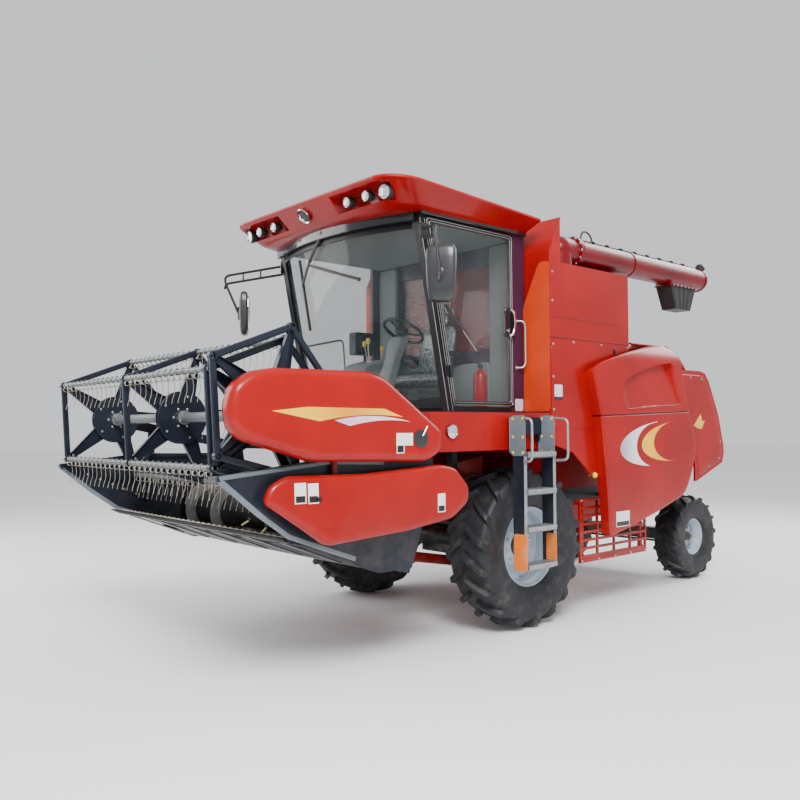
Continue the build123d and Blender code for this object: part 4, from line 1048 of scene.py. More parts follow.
class HARVESTER_OT_header_cover(bpy.types.Operator):
    """Cover over the header's drive on its left end, with a pressed crease and blank labels"""
    bl_idname = "harvester.header_cover"
    bl_label = "Header cover"

    OUTLINE = [(-.932, .175), (-.922, .28), (-.84, .366), (-.572, .46), (-.29, .557), (.007, .683), (.3, .81),
               (.43, .832), (.604, .75), (.632, .64), (.522, .492), (.142, .3), (-.44, .052)]

    def execute(self, context):
        outline = spread(eased(self.OUTLINE, .04), 220)

        def face(v, w):
            ahead = .204 * (w - .499) - .979 * (v + .348)
            return 1.422 - .003 * (v / .8) ** 2 - .1 * np.clip(ahead, 0, None)

        build_one("Header_Cover", "header_cover_paint",
                  on_header(pressed(outline, face, 1.352, .035, .005, 16, (-.14, .42))), body="header",
                  replaces=("lower_cover",))
        form = Form()
        for v, w in ((-.6, .3), (.1, .6), (.34, .64)):
            form.add(on_header(turned([(1.345, .014), (1.41, .014)], (0, v, w), X, 20)))
        form.build("Header_Cover_Posts", "black_paint", "header")
        return {"FINISHED"}


class HARVESTER_OT_side_panels(bpy.types.Operator):
    """Lifting side panels: an upper skin with an arched recess and a bent top, a lower skin with a
    flash of colour, and the folded front flange"""
    bl_idname = "harvester.side_panels"
    bl_label = "Side panels"

    UPPER = [(.628, 2.1), (.75, 2.165), (1.155, 2.274), (1.69, 2.375), (1.95, 2.385), (2.06, 2.3),
             (2.15, 1.9), (2.207, 1.761), (.748, 1.712)]
    LOWER = [(.749, 1.705), (2.208, 1.754), (2.29, 1.58), (2.332, 1.4), (2.251, 1.152), (2.125, .958),
             (1.666, .831), (1.221, .728), (.93, .672), (.866, .668), (.846, .96)]
    FACE = 1.3
    RECESS = [(1.142, 1.768), (1.075, 2.001), (1.354, 2.124), (1.6, 2.18), (1.913, 2.219), (1.99, 2.05),
              (2.06, 1.833), (1.956, 1.817)]

    def execute(self, context):
        for side, sign in (("Left", 1), ("Right", -1)):
            upper = Form().add(self.sided(self.upper_skin(), sign))
            lower = Form().add(self.sided(self.lower_skin(), sign))
            body = f"panel_{side[0].lower()}"
            upper.build(f"Side_Panel_Upper_{side}", "red_paint", body,
                        replaces=(f"side_panel_{side.lower()}",))
            lower.build(f"Side_Panel_Lower_{side}", "side_panel_paint", body)
            self.backing(sign).build(f"Side_Panel_Frame_{side}", "black_paint", body)
        return {"FINISHED"}

    def sided(self, points, sign):
        return points if sign > 0 else mirrored(points)

    def bent(self, y, z):
        """Upright at FACE up to a height, then bent inwards by 2.4 times the square of the rise."""
        return self.FACE - 2.4 * np.clip(z - 2.19, 0, None) ** 2

    def flange(self, outline, deep, shallow):
        """How far in the rim's flange reaches: deep along the front edge, shallow elsewhere."""
        front = np.interp(outline[:, 1], [.66, .96, 1.71, 2.1, 2.2], [.866, .846, .749, .628, .6])
        share = np.clip(1 - (outline[:, 0] - front) / .02, 0, 1)
        return np.minimum(self.bent(outline[:, 0], outline[:, 1]) - shallow,
                          self.FACE - shallow - share * (deep - shallow))

    def upper_skin(self):
        """Rings run from the middle of the recess's floor over its wall to the recess's rim, and from
        there evenly out to the panel's edge, along rays from the recess's middle."""
        outer = spread(eased(self.UPPER, [.03, .1, .3, .15, .1, .08, .2, .004, .004]), 1200)
        rim = spread(eased(self.RECESS, [.05, .06, .1, .1, .06, .1, .03, .05]), 1200)
        middle = np.array((1.53, 1.97))
        rays = np.linspace(-np.pi, np.pi, 260, endpoint=False)

        def reach(line):
            arm = line - middle
            angle = np.arctan2(arm[:, 1], arm[:, 0])
            order = np.argsort(angle)
            return np.interp(rays, angle[order], np.linalg.norm(arm, axis=1)[order], period=2 * np.pi)

        unit = np.stack((np.cos(rays), np.sin(rays)), -1)
        far, near = reach(outer), reach(rim)
        rows = []
        for share in (.05, .3, .6, .85):
            flat = middle + unit * ((near - .02) * share)[:, None]
            rows.append((flat, self.sunk(flat)))
        for inset, lift in ((.02, 0.0), (.014, .06), (.004, .9), (0.0, 1.0)):
            flat = middle + unit * (near - inset)[:, None]
            rows.append((flat, self.sunk(flat) * (1 - lift) + self.bent(flat[:, 0], flat[:, 1]) * lift))
        for share in np.linspace(0, 1, 12)[1:]:
            flat = middle + unit * (near + (far - .012 - near) * share)[:, None]
            rows.append((flat, self.bent(flat[:, 0], flat[:, 1])))
        edge = middle + unit * far[:, None]
        rows.append((middle + unit * (far - .004)[:, None], self.bent(edge[:, 0], edge[:, 1]) - .003))
        rows.append((edge, self.bent(edge[:, 0], edge[:, 1]) - .012))
        back = self.flange(edge, .1, .03)
        lip = middle + unit * (far - .004)[:, None]
        outside = [np.column_stack((depth, flat)) for flat, depth in rows]
        ends = [np.column_stack((back, edge)), np.column_stack((back, lip))]
        inside = [np.column_stack((depth - .004, lip if k < 2 else flat))
                  for k, (flat, depth) in enumerate(rows[::-1])]
        return np.array(outside + ends + inside)

    def sunk(self, flat):
        """The recess's floor stands 8 mm in at its foot and 58 mm in at its top."""
        return 1.292 - .05 * np.clip((flat[:, 1] - 1.78) / .38, 0, 1)

    def lower_skin(self):
        outline = spread(eased(self.LOWER, [.004, .004, .1, .12, .12, .1, .1, .1, .04, .03, .15]), 300)
        return pressed(outline, lambda y, z: self.FACE - .02 * np.clip(1.16 - z + (y - .85) * .18, 0, 1),
                       self.flange(outline, .1, .03), .012, .004, 18, (1.5, 1.25))

    def backing(self, sign):
        """Tubes behind the skins that close the joint between them and carry both."""
        form = Form()
        path = np.array([(1.284, .76, 1.709), (1.284, 2.195, 1.757)])
        form.add(self.sided(bar(path, .018, .05, .002), sign))
        for y in (1.1, 2.08):
            path = eased([(1.165, y, 2.36), (1.2, y, 2.3), (1.21, y, 2.05), (1.275, y, 1.74)], .05, False)
            form.add(self.sided(bar(path, .03, .018, .002, Y), sign))
        return form


# Roof and lamps

class HARVESTER_OT_roof(bpy.types.Operator):
    """Flared roof with a bowed visor, sunk lamp bays, a low crown and the black brow below it"""
    bl_idname = "harvester.roof"
    bl_label = "Roof"

    # Height at the front and at the rear, then (x, y) at the side's rear, the side's front, the front's
    # end and the front's middle
    LEVELS = [
        (3.236, 3.236, (.945, .168), (.985, -1.0), (.87, -1.245), (0, -1.27)),
        (3.252, 3.252, (.98, .168), (1.02, -1.02), (.9, -1.28), (0, -1.305)),
        (3.262, 3.26, (.99, .168), (1.032, -1.035), (.912, -1.295), (0, -1.32)),
        (3.408, 3.32, (1.138, .168), (1.131, -1.274), (.99, -1.448), (0, -1.448)),
        (3.422, 3.334, (1.138, .168), (1.131, -1.274), (.99, -1.45), (0, -1.45)),
        (3.434, 3.346, (1.122, .168), (1.118, -1.262), (.98, -1.434), (0, -1.436)),
        (3.443, 3.356, (1.07, .16), (1.07, -1.22), (.93, -1.37), (0, -1.38)),
        (3.449, 3.363, (.6, .1), (.6, -1.0), (.5, -1.1), (0, -1.12)),
    ]

    def plan(self, level):
        """A ring whose corners are rounded and whose height falls evenly from the front to the rear."""
        high, low, rear, side, end, middle = level
        half = [rear, side, end]
        corners = half + [middle] + [(-x, y) for x, y in half[::-1]]
        line = eased(corners, [.01, .1, .1, .5, .1, .1, .01], True, 10)
        line = np.vstack((line, line[:1]))
        fine = np.linspace(0, len(line) - 1, (len(line) - 1) * 5, endpoint=False)
        line = np.stack([np.interp(fine, np.arange(len(line)), column) for column in line.T], -1)
        share = (line[:, 1] - middle[1]) / (rear[1] - middle[1])
        return np.column_stack((line, high + (low - high) * share))

    def execute(self, context):
        rings = [self.plan(level) for level in self.LEVELS]
        low, high = rings[2], rings[3]
        bay = np.interp(np.abs(high[:, 0]), [.37, .39, 1.0, 1.03], [0, 1, 1, 0]) * (high[:, 1] < -1.2)
        rows = [rings[0], rings[1], low]
        for share in (.06, .12, .16, .3, .46, .62, .78, .84, .88, .94):
            line = low + (high - low) * share
            depth = np.interp(share, [.12, .16, .84, .88], [0, .06, .16, 0]) * bay
            line[:, :2] += inward(line[:, :2]) * depth[:, None]
            rows.append(line)
        rows += rings[3:]
        centre = rings[-1].mean(axis=0)
        rows.append(centre + (rings[-1] - centre) * .3)
        under = [rings[0] * (.94, .95, 1) + (0, -.01, -.01)]
        under.append(centre * (1, 1, 0) + (0, 0, 3.225) + (under[0] - under[0].mean(axis=0)) * .3 * (1, 1, 0))
        build_one("Roof_Shell", "red_paint", np.array(under[::-1] + rows), replaces=("cab_roof",), smooth=38)
        self.badge()
        self.brow()
        return {"FINISHED"}

    def badge(self):
        """A chrome ring round a blank dark disc on the visor's middle, square to its slope."""
        axis, place = (0, -.745, -.667), (-.03, -1.386, 3.334)
        rim = turned([(-.01, .05), (.008, .062), (.016, .066), (.02, .062), (.014, .055), (.004, .05)],
                     place, axis, 48)
        build_one("Roof_Boss_Ring", "chrome", rim, wrap_u=True)
        disc = turned([(-.01, .056), (.006, .056), (.009, .03), (.0095, .006)], place, axis, 48)
        build_one("Roof_Boss", "black_plastic", disc)

    def brow(self):
        """Black seal over the windshield and the sides; its front bows by 0.178 (1 - (x/0.922)^2)."""
        x = np.linspace(-.922, .922, 41)
        front = np.column_stack((x, -1.057 - .178 * (1 - (x / .922) ** 2), np.full(41, 3.205)))
        form = Form().add(bar(front, .03, .09, .006))
        side = np.array([(.962, -1.03, 3.236), (.962, -.5, 3.236), (.962, .165, 3.236)])
        form.both(bar(side, .03, .038, .006))
        form.build("Cab_Brow", "black_gloss")


LAMPS = [(.51, -1.372, 3.33, .042), (.738, -1.372, 3.33, .042), (.93, -1.352, 3.325, .055)]


class HARVESTER_OT_lamps(bpy.types.Operator):
    """Round work lamps in the visor's bays, in rubber bowls on straps, and the lamp on the platform's beam"""
    bl_idname = "harvester.lamps"
    bl_label = "Lamps"

    def execute(self, context):
        bowls, rims, lenses, straps = Form(), Form(), Form(), Form()
        for sign in (1, -1):
            for x, y, z, r in LAMPS:
                place = np.array((sign * x, y, z))
                axis = np.array((sign * .12 * (x > .9), -1.0, -.14))
                axis /= np.linalg.norm(axis)
                bowls.add(turned([(-.08, r * .35), (-.07, r * .62), (-.045, r * .9), (-.012, r), (.002, r),
                                  (.004, r * .93), (-.006, r * .9)], place, axis, 40))
                rims.add(turned([(-.004, r * .92), (.008, r * .93), (.01, r * .88), (.004, r * .84),
                                 (-.004, r * .84)], place, axis, 40), wrap_u=True)
                lenses.add(turned([(-.004, r * .86), (.004, r * .85), (.009, r * .5), (.011, r * .2)],
                                  place, axis, 40))
                back = place - axis * .04
                path = eased([back + (0, 0, r * .6), back + (0, 0, r + .016),
                              back + (0, .05, r + .02)], .008, False)
                straps.add(bar(path, .024, .006, .001, (0, 1, .1)))
                straps.add(*bolts([back + (0, 0, r + .01)], (0, -.4, 1), .008))
        self.beam_lamp(bowls, rims, lenses)
        bowls.build("Work_Lamp_Bowls", "soft_rubber", slot="lamp_plastic", replaces=("roof_lamps",))
        rims.build("Work_Lamp_Rims", "chrome")
        lenses.build("Work_Lamp_Lenses", "lamp_lens")
        straps.build("Work_Lamp_Straps", "black_paint")
        return {"FINISHED"}

    def beam_lamp(self, bowls, rims, lenses):
        place = (1.2, -.965, 1.587)
        bowls.add(turned([(-.01, .05), (.014, .05), (.018, .046), (.02, .04)], place, X, 40))
        rims.add(turned([(.012, .05), (.022, .049), (.024, .044), (.018, .041)], place, X, 40), wrap_u=True)
        lenses.add(turned([(.012, .041), (.022, .04), (.028, .024), (.03, .008)], place, X, 40))


# Reel

REEL = (-2.471, 1.699)
REEL_RADIUS = .487
REEL_PHASE = math.radians(3.2)
CRANK_OFFSET = .07
STARS = (-1.165, 0.0, 1.152)


def channel(width, depth, thick):
    """The section of a folded channel as (across, deep) pairs, open upwards."""
    a, b = width / 2, depth / 2
    return np.array([(-a, -b), (a, -b), (a, b), (a - thick, b), (a - thick, thick - b),
                     (thick - a, thick - b), (thick - a, b), (-a, b)])


def reel_points(lift=0.0):
    """The five (y, z) tips round the shaft, or round the point that the cranks set off above it."""
    angle = np.arange(5) * math.radians(72) + REEL_PHASE
    return np.stack((REEL[0] + REEL_RADIUS * np.cos(angle), REEL[1] + lift + REEL_RADIUS * np.sin(angle)), -1)


class HARVESTER_OT_reel(bpy.types.Operator):
    """Reel: shaft, three spiders of folded arms on round plates, the set-off ring, and its five tine pipes"""
    bl_idname = "harvester.reel"
    bl_label = "Reel"

    def execute(self, context):
        plates, fixings = Form(), Form()
        for x in STARS:
            self.spider(plates, fixings, x, 0.0, .187, .034)
        plates.build("Reel_Spiders", "navy_paint", "reel", replaces=("reel_frame",), smooth=30)
        collars = [turned([(-.03, .036), (-.03, .05), (.03, .05), (.03, .036)],
                          (x + (.034 if x < 1 else -.042), *REEL), X, 32) for x in STARS]
        fixings.add(*collars, wrap_u=True)
        fixings.build("Reel_Fixings", "zinc_steel", "reel")
        shaft = turned([(-1.328, .03), (-1.326, .034), (1.326, .034), (1.328, .03)], (0, *REEL), X, 32)
        build_one("Reel_Shaft", "pipe_steel", shaft, body="reel")
        plates, fixings = Form(), Form()
        self.spider(plates, fixings, 1.215, CRANK_OFFSET, .14, .1115)
        plates.build("Reel_Ring", "navy_paint", "ring", replaces=("reel_ring",), smooth=30)
        fixings.build("Reel_Ring_Fixings", "zinc_steel", "ring")
        for index, (y, z) in enumerate(reel_points()):
            self.tine_bar(index + 1, y, z)
        return {"FINISHED"}

    def spider(self, plates, fixings, x, lift, hub, hole):
        """A round plate, five channels that narrow as they run out from it, and straps from tip to tip."""
        centre = np.array((REEL[0], REEL[1] + lift))
        for off in (.026 if hole < .05 else .016, -.008):
            plates.add(turned([(-.003, hole), (-.003, hub - .003), (-.001, hub), (.001, hub),
                               (.003, hub - .003), (.003, hole)], (x + off, *centre), X, 72), wrap_u=True)
        tips = reel_points(lift)
        share = np.linspace(0, 1, 5)[:, None, None]
        for index, tip in enumerate(tips):
            out = (tip - centre) / REEL_RADIUS
            side = np.array((-out[1], out[0]))
            wide, narrow = channel(.13, .026, .004), channel(.045, .026, .004)
            section = (wide + (narrow - wide) * share) + np.array((0, .009))
            reach = hub * .62 + (REEL_RADIUS - .03 - hub * .62) * share
            plane = centre + out * reach + side * section[..., :1]
            plates.add(np.concatenate((x + section[..., 1:], plane), -1))
            after = tips[(index + 1) % 5]
            run = (after - tip) / np.linalg.norm(after - tip)
            path = np.array([(x, *(tip + run * .012)), (x, *(after - run * .012))])
            plates.add(bar(path, .042, .028, .007, X))
            plates.add(turned([(-.02, .0185), (-.02, .025), (-.016, .0275), (.016, .0275), (.02, .025),
                               (.02, .0185)], (x, *tip), X, 24), wrap_u=True)
            if hole > .05:
                fixings.add(*bolts([(x - .01, *(centre + out * (hub + hole) / 2))], (-1, 0, 0), .006))
                continue
            fixings.add(*bolts([(x + .028, *(centre + out * (hub - .035)))], X, .0065))
            if x < 1:
                fixings.add(*bolts([(x + .02, *(tip - out * .045))], X, .0065))
        if hole < .05:
            angle = np.arange(6) * math.pi / 3
            fixings.add(*bolts([(x + .028, centre[0] + .068 * math.cos(a), centre[1] + .068 * math.sin(a))
                                for a in angle], X, .007))

    def tine_bar(self, number, y, z):
        body = f"tine_{number}"
        pipe = turned([(-1.185, .012), (-1.185, .016), (1.19, .016), (1.19, .012)], (0, y, z), X, 20)
        form = Form().add(pipe)
        pitches = [(high - low) / 14 for low, high in zip(STARS, STARS[1:])]
        places = [(low + (step + .5) * pitch, y, z) for low, pitch in zip(STARS, pitches)
                  for step in range(14)]
        clip = turned([(-.011, .0165), (-.011, .0195), (.011, .0195), (.011, .0165)], (0, 0, 0), X, 12)
        form.add(repeated(clip, places), wrap_u=True)
        form.add(*bolts(np.array(places) + (0, 0, .0185), Z, .0055, .007))
        form.build(f"Tine_Pipe_{number}", "pipe_steel", body, replaces=(f"tine_bar_{number}",), smooth=40)
        build_one(f"Tine_Springs_{number}", "spring_wire", repeated(self.tine(), places), body=body)
        crank = bevelled(.028, .008, .002)
        path = [(1.186, y, z - .012), (1.186, y, z + CRANK_OFFSET + .012)]
        form = Form().add(carried(path, crank, X))
        form.add(turned([(-.034, .01), (.008, .01), (.01, .008)], (1.215, y, z + CRANK_OFFSET), X, 16))
        form.build(f"Tine_Crank_{number}", "navy_paint", body)

    def tine(self):
        """A wire that turns two and a quarter times downwards round a coil below the pipe, moving 3 mm along
        with each turn, then hangs with a slight S."""
        angle = math.pi / 2 - np.linspace(0, 2.25, 28) * 2 * math.pi
        radius = .0172
        coil = np.stack((np.linspace(-.007, .007, 28), radius * np.cos(angle),
                         radius * np.sin(angle) - .034), -1)
        tail = np.array([(.007, .016, -.06), (.007, .02, -.09), (.007, .018, -.125), (.007, .006, -.16),
                         (.007, 0, -.189)])
        return carried(np.vstack((coil, tail)), ring(.0022, 5), (1, 0, .001))


# Header

TROUGH = (0.0, .29)
KNIFE_PITCH = .0762


class HARVESTER_OT_header(bpy.types.Operator):
    """Header: auger with worn flights and fingers, guards with knife sections, and the end sheets' trim"""
    bl_idname = "harvester.header"
    bl_label = "Header"

    def execute(self, context):
        self.auger()
        self.knife()
        self.trim()
        return {"FINISHED"}

    def auger(self):
        drum = Form().add(on_header(turned([(-1.255, .03), (-1.255, .045), (-1.243, .05), (-1.243, .146),
                                            (-1.235, .15), (1.235, .15), (1.243, .146), (1.243, .05),
                                            (1.255, .045), (1.255, .03)], (0, *TROUGH), X, 72)))
        drum.build("Auger_Drum", "black_paint", "auger", replaces=("header_auger",))
        flights = Form()
        for sign in (1, -1):
            flights.add(on_header(self.flight(sign)))
        flights.build("Auger_Flights", "worn_auger", "auger")
        fingers, guides = Form(), Form()
        for index in range(12):
            x, angle = -.24 + index * .044, math.radians(index * 75)
            axis = (0, math.cos(angle), math.sin(angle))
            fingers.add(on_header(turned([(.1, .008), (.222, .0075), (.23, .004)], (x, *TROUGH), axis, 12)))
            guides.add(on_header(turned([(.14, .026), (.156, .024), (.162, .016)], (x, *TROUGH), axis, 20)))
        fingers.build("Auger_Fingers", "bolt_cream", "auger")
        guides.build("Auger_Finger_Guides", "black_plastic", "auger")

    def flight(self, sign):
        """A thin blade from the drum to the rim that moves along by one pitch with each turn."""
        start, end, pitch = .3, 1.238, .42
        turns = (end - start) / pitch
        angle = np.linspace(0, turns * 2 * np.pi, int(turns * 48))
        section = np.array([(-.003, .146), (.003, .146), (.0035, .2), (.0025, .238), (0, .24), (-.0025, .238),
                            (-.0035, .2)])
        x = start + pitch * angle[:, None] / (2 * np.pi) + section[None, :, 0]
        radius = np.broadcast_to(section[None, :, 1], x.shape)
        turn = angle[:, None]
        return np.stack((sign * x, TROUGH[0] + radius * np.cos(turn), TROUGH[1] + radius * np.sin(turn)), -1)

    def knife(self):
        places = (np.arange(33) - 16) * KNIFE_PITCH
        spots = [(x, 0, 0) for x in places]
        form = Form()
        back = [(-1.26, -.62, .021), (1.26, -.62, .021)]
        form.add(on_header(bar(back, .036, .026, .004)))
        form.build("Knife_Back", "black_paint", "header", replaces=("cutterbar",))
        share = np.array([0, .2, .55, .85, 1])
        width = np.array([.026, .024, .018, .01, .005]) / 2
        thick = np.array([.024, .022, .02, .012, .005]) / 2
        v = -.636 - share * .083
        section = ring(1, 8, math.pi / 8)
        guard = np.stack((section[None, :, 0] * width[:, None], np.broadcast_to(v[:, None], (5, 8)),
                          .019 + section[None, :, 1] * thick[:, None]), -1)
        tangs = np.array([(0, -.64, .036), (0, -.6, .038)])
        form = Form()
        form.add(on_header(repeated(guard, spots)))
        form.add(on_header(repeated(bar(tangs, .03, .008, .002), spots)))
        form.build("Knife_Guards", "cast_iron", "header")
        blade = np.array([[(-.034, -.64, .0345), (.034, -.64, .0345), (0, -.695, .0335)],
                          [(-.034, -.64, .0375), (.034, -.64, .0375), (0, -.695, .035)]])
        blades = [on_header(repeated(blade, [(x + KNIFE_PITCH / 2, 0, 0) for x in places[:-1]]))]
        build_one("Knife_Sections", "bare_steel", *blades, body="header")
        heads = on_header(np.array([(x, -.612, .042) for x in places]))
        build_one("Knife_Bolts", "bolt_cream",
                  *bolts(heads, (0, math.sin(HEADER_TILT), math.cos(HEADER_TILT)), .0105), body="header")

    def trim(self):
        """Angle strips and bolts on the end sheets' inner faces, and skid plates under the floor."""
        form, fixings, skids = Form(), Form(), Form()
        for side in (1, -1):
            x = side * 1.266
            path = on_header(np.array([(x, -1.02, .235), (x, -.42, .19)]))
            form.add(bar(path, .03, .012, .002, X))
            spots = on_header(np.array([(x - side * .006, v, .236 - (v + 1.02) * .075)
                                        for v in np.arange(-.98, -.4, .11)]))
            fixings.add(*bolts(spots, (-side, 0, 0), .007))
        for x in np.linspace(-1.1, 1.1, 6):
            path = on_header(np.array([(x, -.58, .011), (x, -.36, .006), (x, -.12, .0)]))
            skids.add(bar(path, .12, .008, .002, (0, .3, 1)))
        form.build("Header_Strips", "navy_paint", "header")
        edges = [bar([(1.279, -1.21, .232), (1.279, -.517, .556), (1.279, -.1, .69)], .026, .018, .005, X),
                 bar([(1.276, -1.2, .222), (1.276, -.901, .116), (1.276, -.651, .046), (1.276, -.118, .042)],
                     .032, .022, .006, X)]
        rims = Form().both(*map(on_header, edges))
        sheet = spread([(-1.205, .226), (-.901, .112), (-.651, .042), (-.118, .038), (-.118, .2),
                        (-.55, .5)], 80)
        build_pair("Header_End_Skirts", "navy_paint", on_header(blade(sheet, 1.2723, 1.2763)), body="header")
        rims.build("Header_Edge_Bars", "steel_grey", "header", slot="frame_paint")
        fixings.build("Header_Fixings", "zinc_steel", "header")
        skids.build("Header_Skids", "black_paint", "header", slot="zinc_steel")


# Body

class HARVESTER_OT_ladder(bpy.types.Operator):
    """Ladder: flanged rails, bolted head plates, ribbed steps, bent hand loops and orange reflectors"""
    bl_idname = "harvester.ladder"
    bl_label = "Ladder"

    def execute(self, context):
        rails, edges, heads, fixings, marks = Form(), Form(), Form(), Form(), Form()
        for y in (-.33, .02):
            rails.add(flat_y(plate((1.24, .53), (1.362, 1.69), .02), y - .006, y + .006, .002))
            edges.add(bar([(1.36, y, .54), (1.36, y, 1.395)], .03, .009, .002, X))
            heads.add(flat_y(plate((1.225, 1.395), (1.372, 1.705), .02), y - .014, y - .0055, .002))
            heads.add(bar([(1.229, y, 1.42), (1.229, y, 1.69)], .06, .01, .002, X))
            fixings.add(*bolts([(x, y - .014, z) for x in (1.25, 1.348) for z in (1.42, 1.54, 1.68)],
                               (0, -1, 0), .008))
        for z in (1.41, 1.125, .838, .551):
            edges.add(bar([(1.32, -.325, z), (1.32, .015, z)], .13, .022, .004))
            edges.add(bar([(1.383, -.325, z - .006), (1.383, .015, z - .006)], .006, .034, .002))
            for y in np.arange(-.3, .01, .03):
                edges.add(bar([(1.262, y, z + .0125), (1.376, y, z + .0125)], .007, .005, .0015))
            heads.add(bar([(1.32, -.318, z - .02), (1.32, .008, z - .02)], .07, .03, .004))
        rails.add(bar([(1.241, -.155, 1.56), (1.241, -.155, 1.69)], .34, .01, .002, X))
        rails.add(*[flat_y(plate((1.2, 1.5), (1.245, 1.68), .01), y, y + .008) for y in (-.3, -.02)])
        rails.build("Ladder_Rails", "navy_paint", replaces=("ladder",))
        edges.build("Ladder_Steps", "galvanised")
        heads.build("Ladder_Head_Plates", "steel_grey")
        fixings.build("Ladder_Bolts", "knob_yellow", slot="zinc_steel")
        loops = Form()
        for y, out in ((-.345, 1.44), (.03, 1.487)):
            path = eased([(1.365, y, 1.685), (out, y, 1.675), (out, y, 1.36), (1.36, y, 1.35)], .045, False)
            loops.add(carried(path, ring(.0105, 14), Y))
        loops.build("Ladder_Hand_Loops", "galvanised")
        studs = Form()
        for y, low, high in ((-.347, (1.252, .52), (1.386, .8)), (.004, (1.285, .56), (1.386, .78))):
            marks.add(flat_y(plate(low, high, .008), y, y + .006, .002))
            studs.add(*bolts([(x, y, z) for x in (low[0] + .016, high[0] - .016)
                              for z in np.linspace(low[1] + .02, high[1] - .02, 3)], (0, -1, 0), .006))
        marks.build("Ladder_Reflectors", "reflector_orange")
        studs.build("Reflector_Bolts", "galvanised")
        return {"FINISHED"}


class HARVESTER_OT_tank_trim(bpy.types.Operator):
    """Grain tank: front corner panels whose lighter orange-red is painted sunlight, lapped side sheets, seams,
    bolts, blank label and drain knobs
    """
    bl_idname = "harvester.tank_trim"
    bl_label = "Tank trim"

    def execute(self, context):
        face = 1.202
        # Plates over the tank's front corners, in a lighter orange-red that is painted sunlight
        outline = spread([(.943, 1.745), (1.196, 1.745), (1.196, 2.985), (1.1, 2.985), (.943, 2.62)], 60)
        front = flat_y(outline, .19, .184)
        front[1, :, 1] -= .03 * (1.196 - outline[:, 0]) / .253
        build_pair("Tank_Corner_Panels", "corner_paint", front)
        sheets, seams, fixings = Form(), Form(), Form()
        sheets.both(blade(plate((.2, 1.6), (1.322, 2.352), .006), 1.196, face, .001))
        seams.both(bar([(1.2, .2, 2.357), (1.2, 1.322, 2.357)], .005, .008, .001),
                   bar([(1.199, .2, 2.53), (1.199, 1.322, 2.53)], .003, .004, .001))
        heads = bolts([(face, y, z) for y, z in ((.225, 2.3), (.225, 2.03), (.225, 1.76), (.225, 1.64),
                                                 (.5, 2.33), (.9, 2.33), (1.3, 2.33))], X, .008)
        fixings.both(*heads, *bolts([(1.198, .225, 2.66), (1.198, .225, 2.9)], X, .008))
        sheets.build("Tank_Side_Sheets", "red_paint")
        seams.build("Tank_Seams", "shadow_red")
        fixings.build("Tank_Bolts", "zinc_steel")
        build_one("Tank_Label", "label_white",
                  blade(plate((.235, 1.865), (.34, 1.965), .004), face, face + .0015))
        build_one("Tank_Label_Foot", "black_plastic",
                  blade(plate((.235, 1.838), (.34, 1.863), .003), face, face + .0015))
        knob = (1.2, .78, 1.196)
        ball = [(math.cos(a) * -.026, max(math.sin(a) * .026, .002))
                for a in np.linspace(.05, math.pi - .05, 14)]
        build_pair("Drain_Knobs", "knob_yellow", turned(ball, knob, X, 24),
                   turned([(-.06, .01), (-.02, .01)], knob, X, 14))
        tip = spread([(2.445, 1.62), (2.58, 1.735), (2.612, 1.66), (2.664, 1.672), (2.6, 1.585),
                      (2.52, 1.592)], 36)
        build_one("Hood_Flash", "flash_yellow", blade(tip, 1.209, 1.2105))
        return {"FINISHED"}


# The unloading tube's middle line as (x, z)
TUBE = (1.06, 3.14)


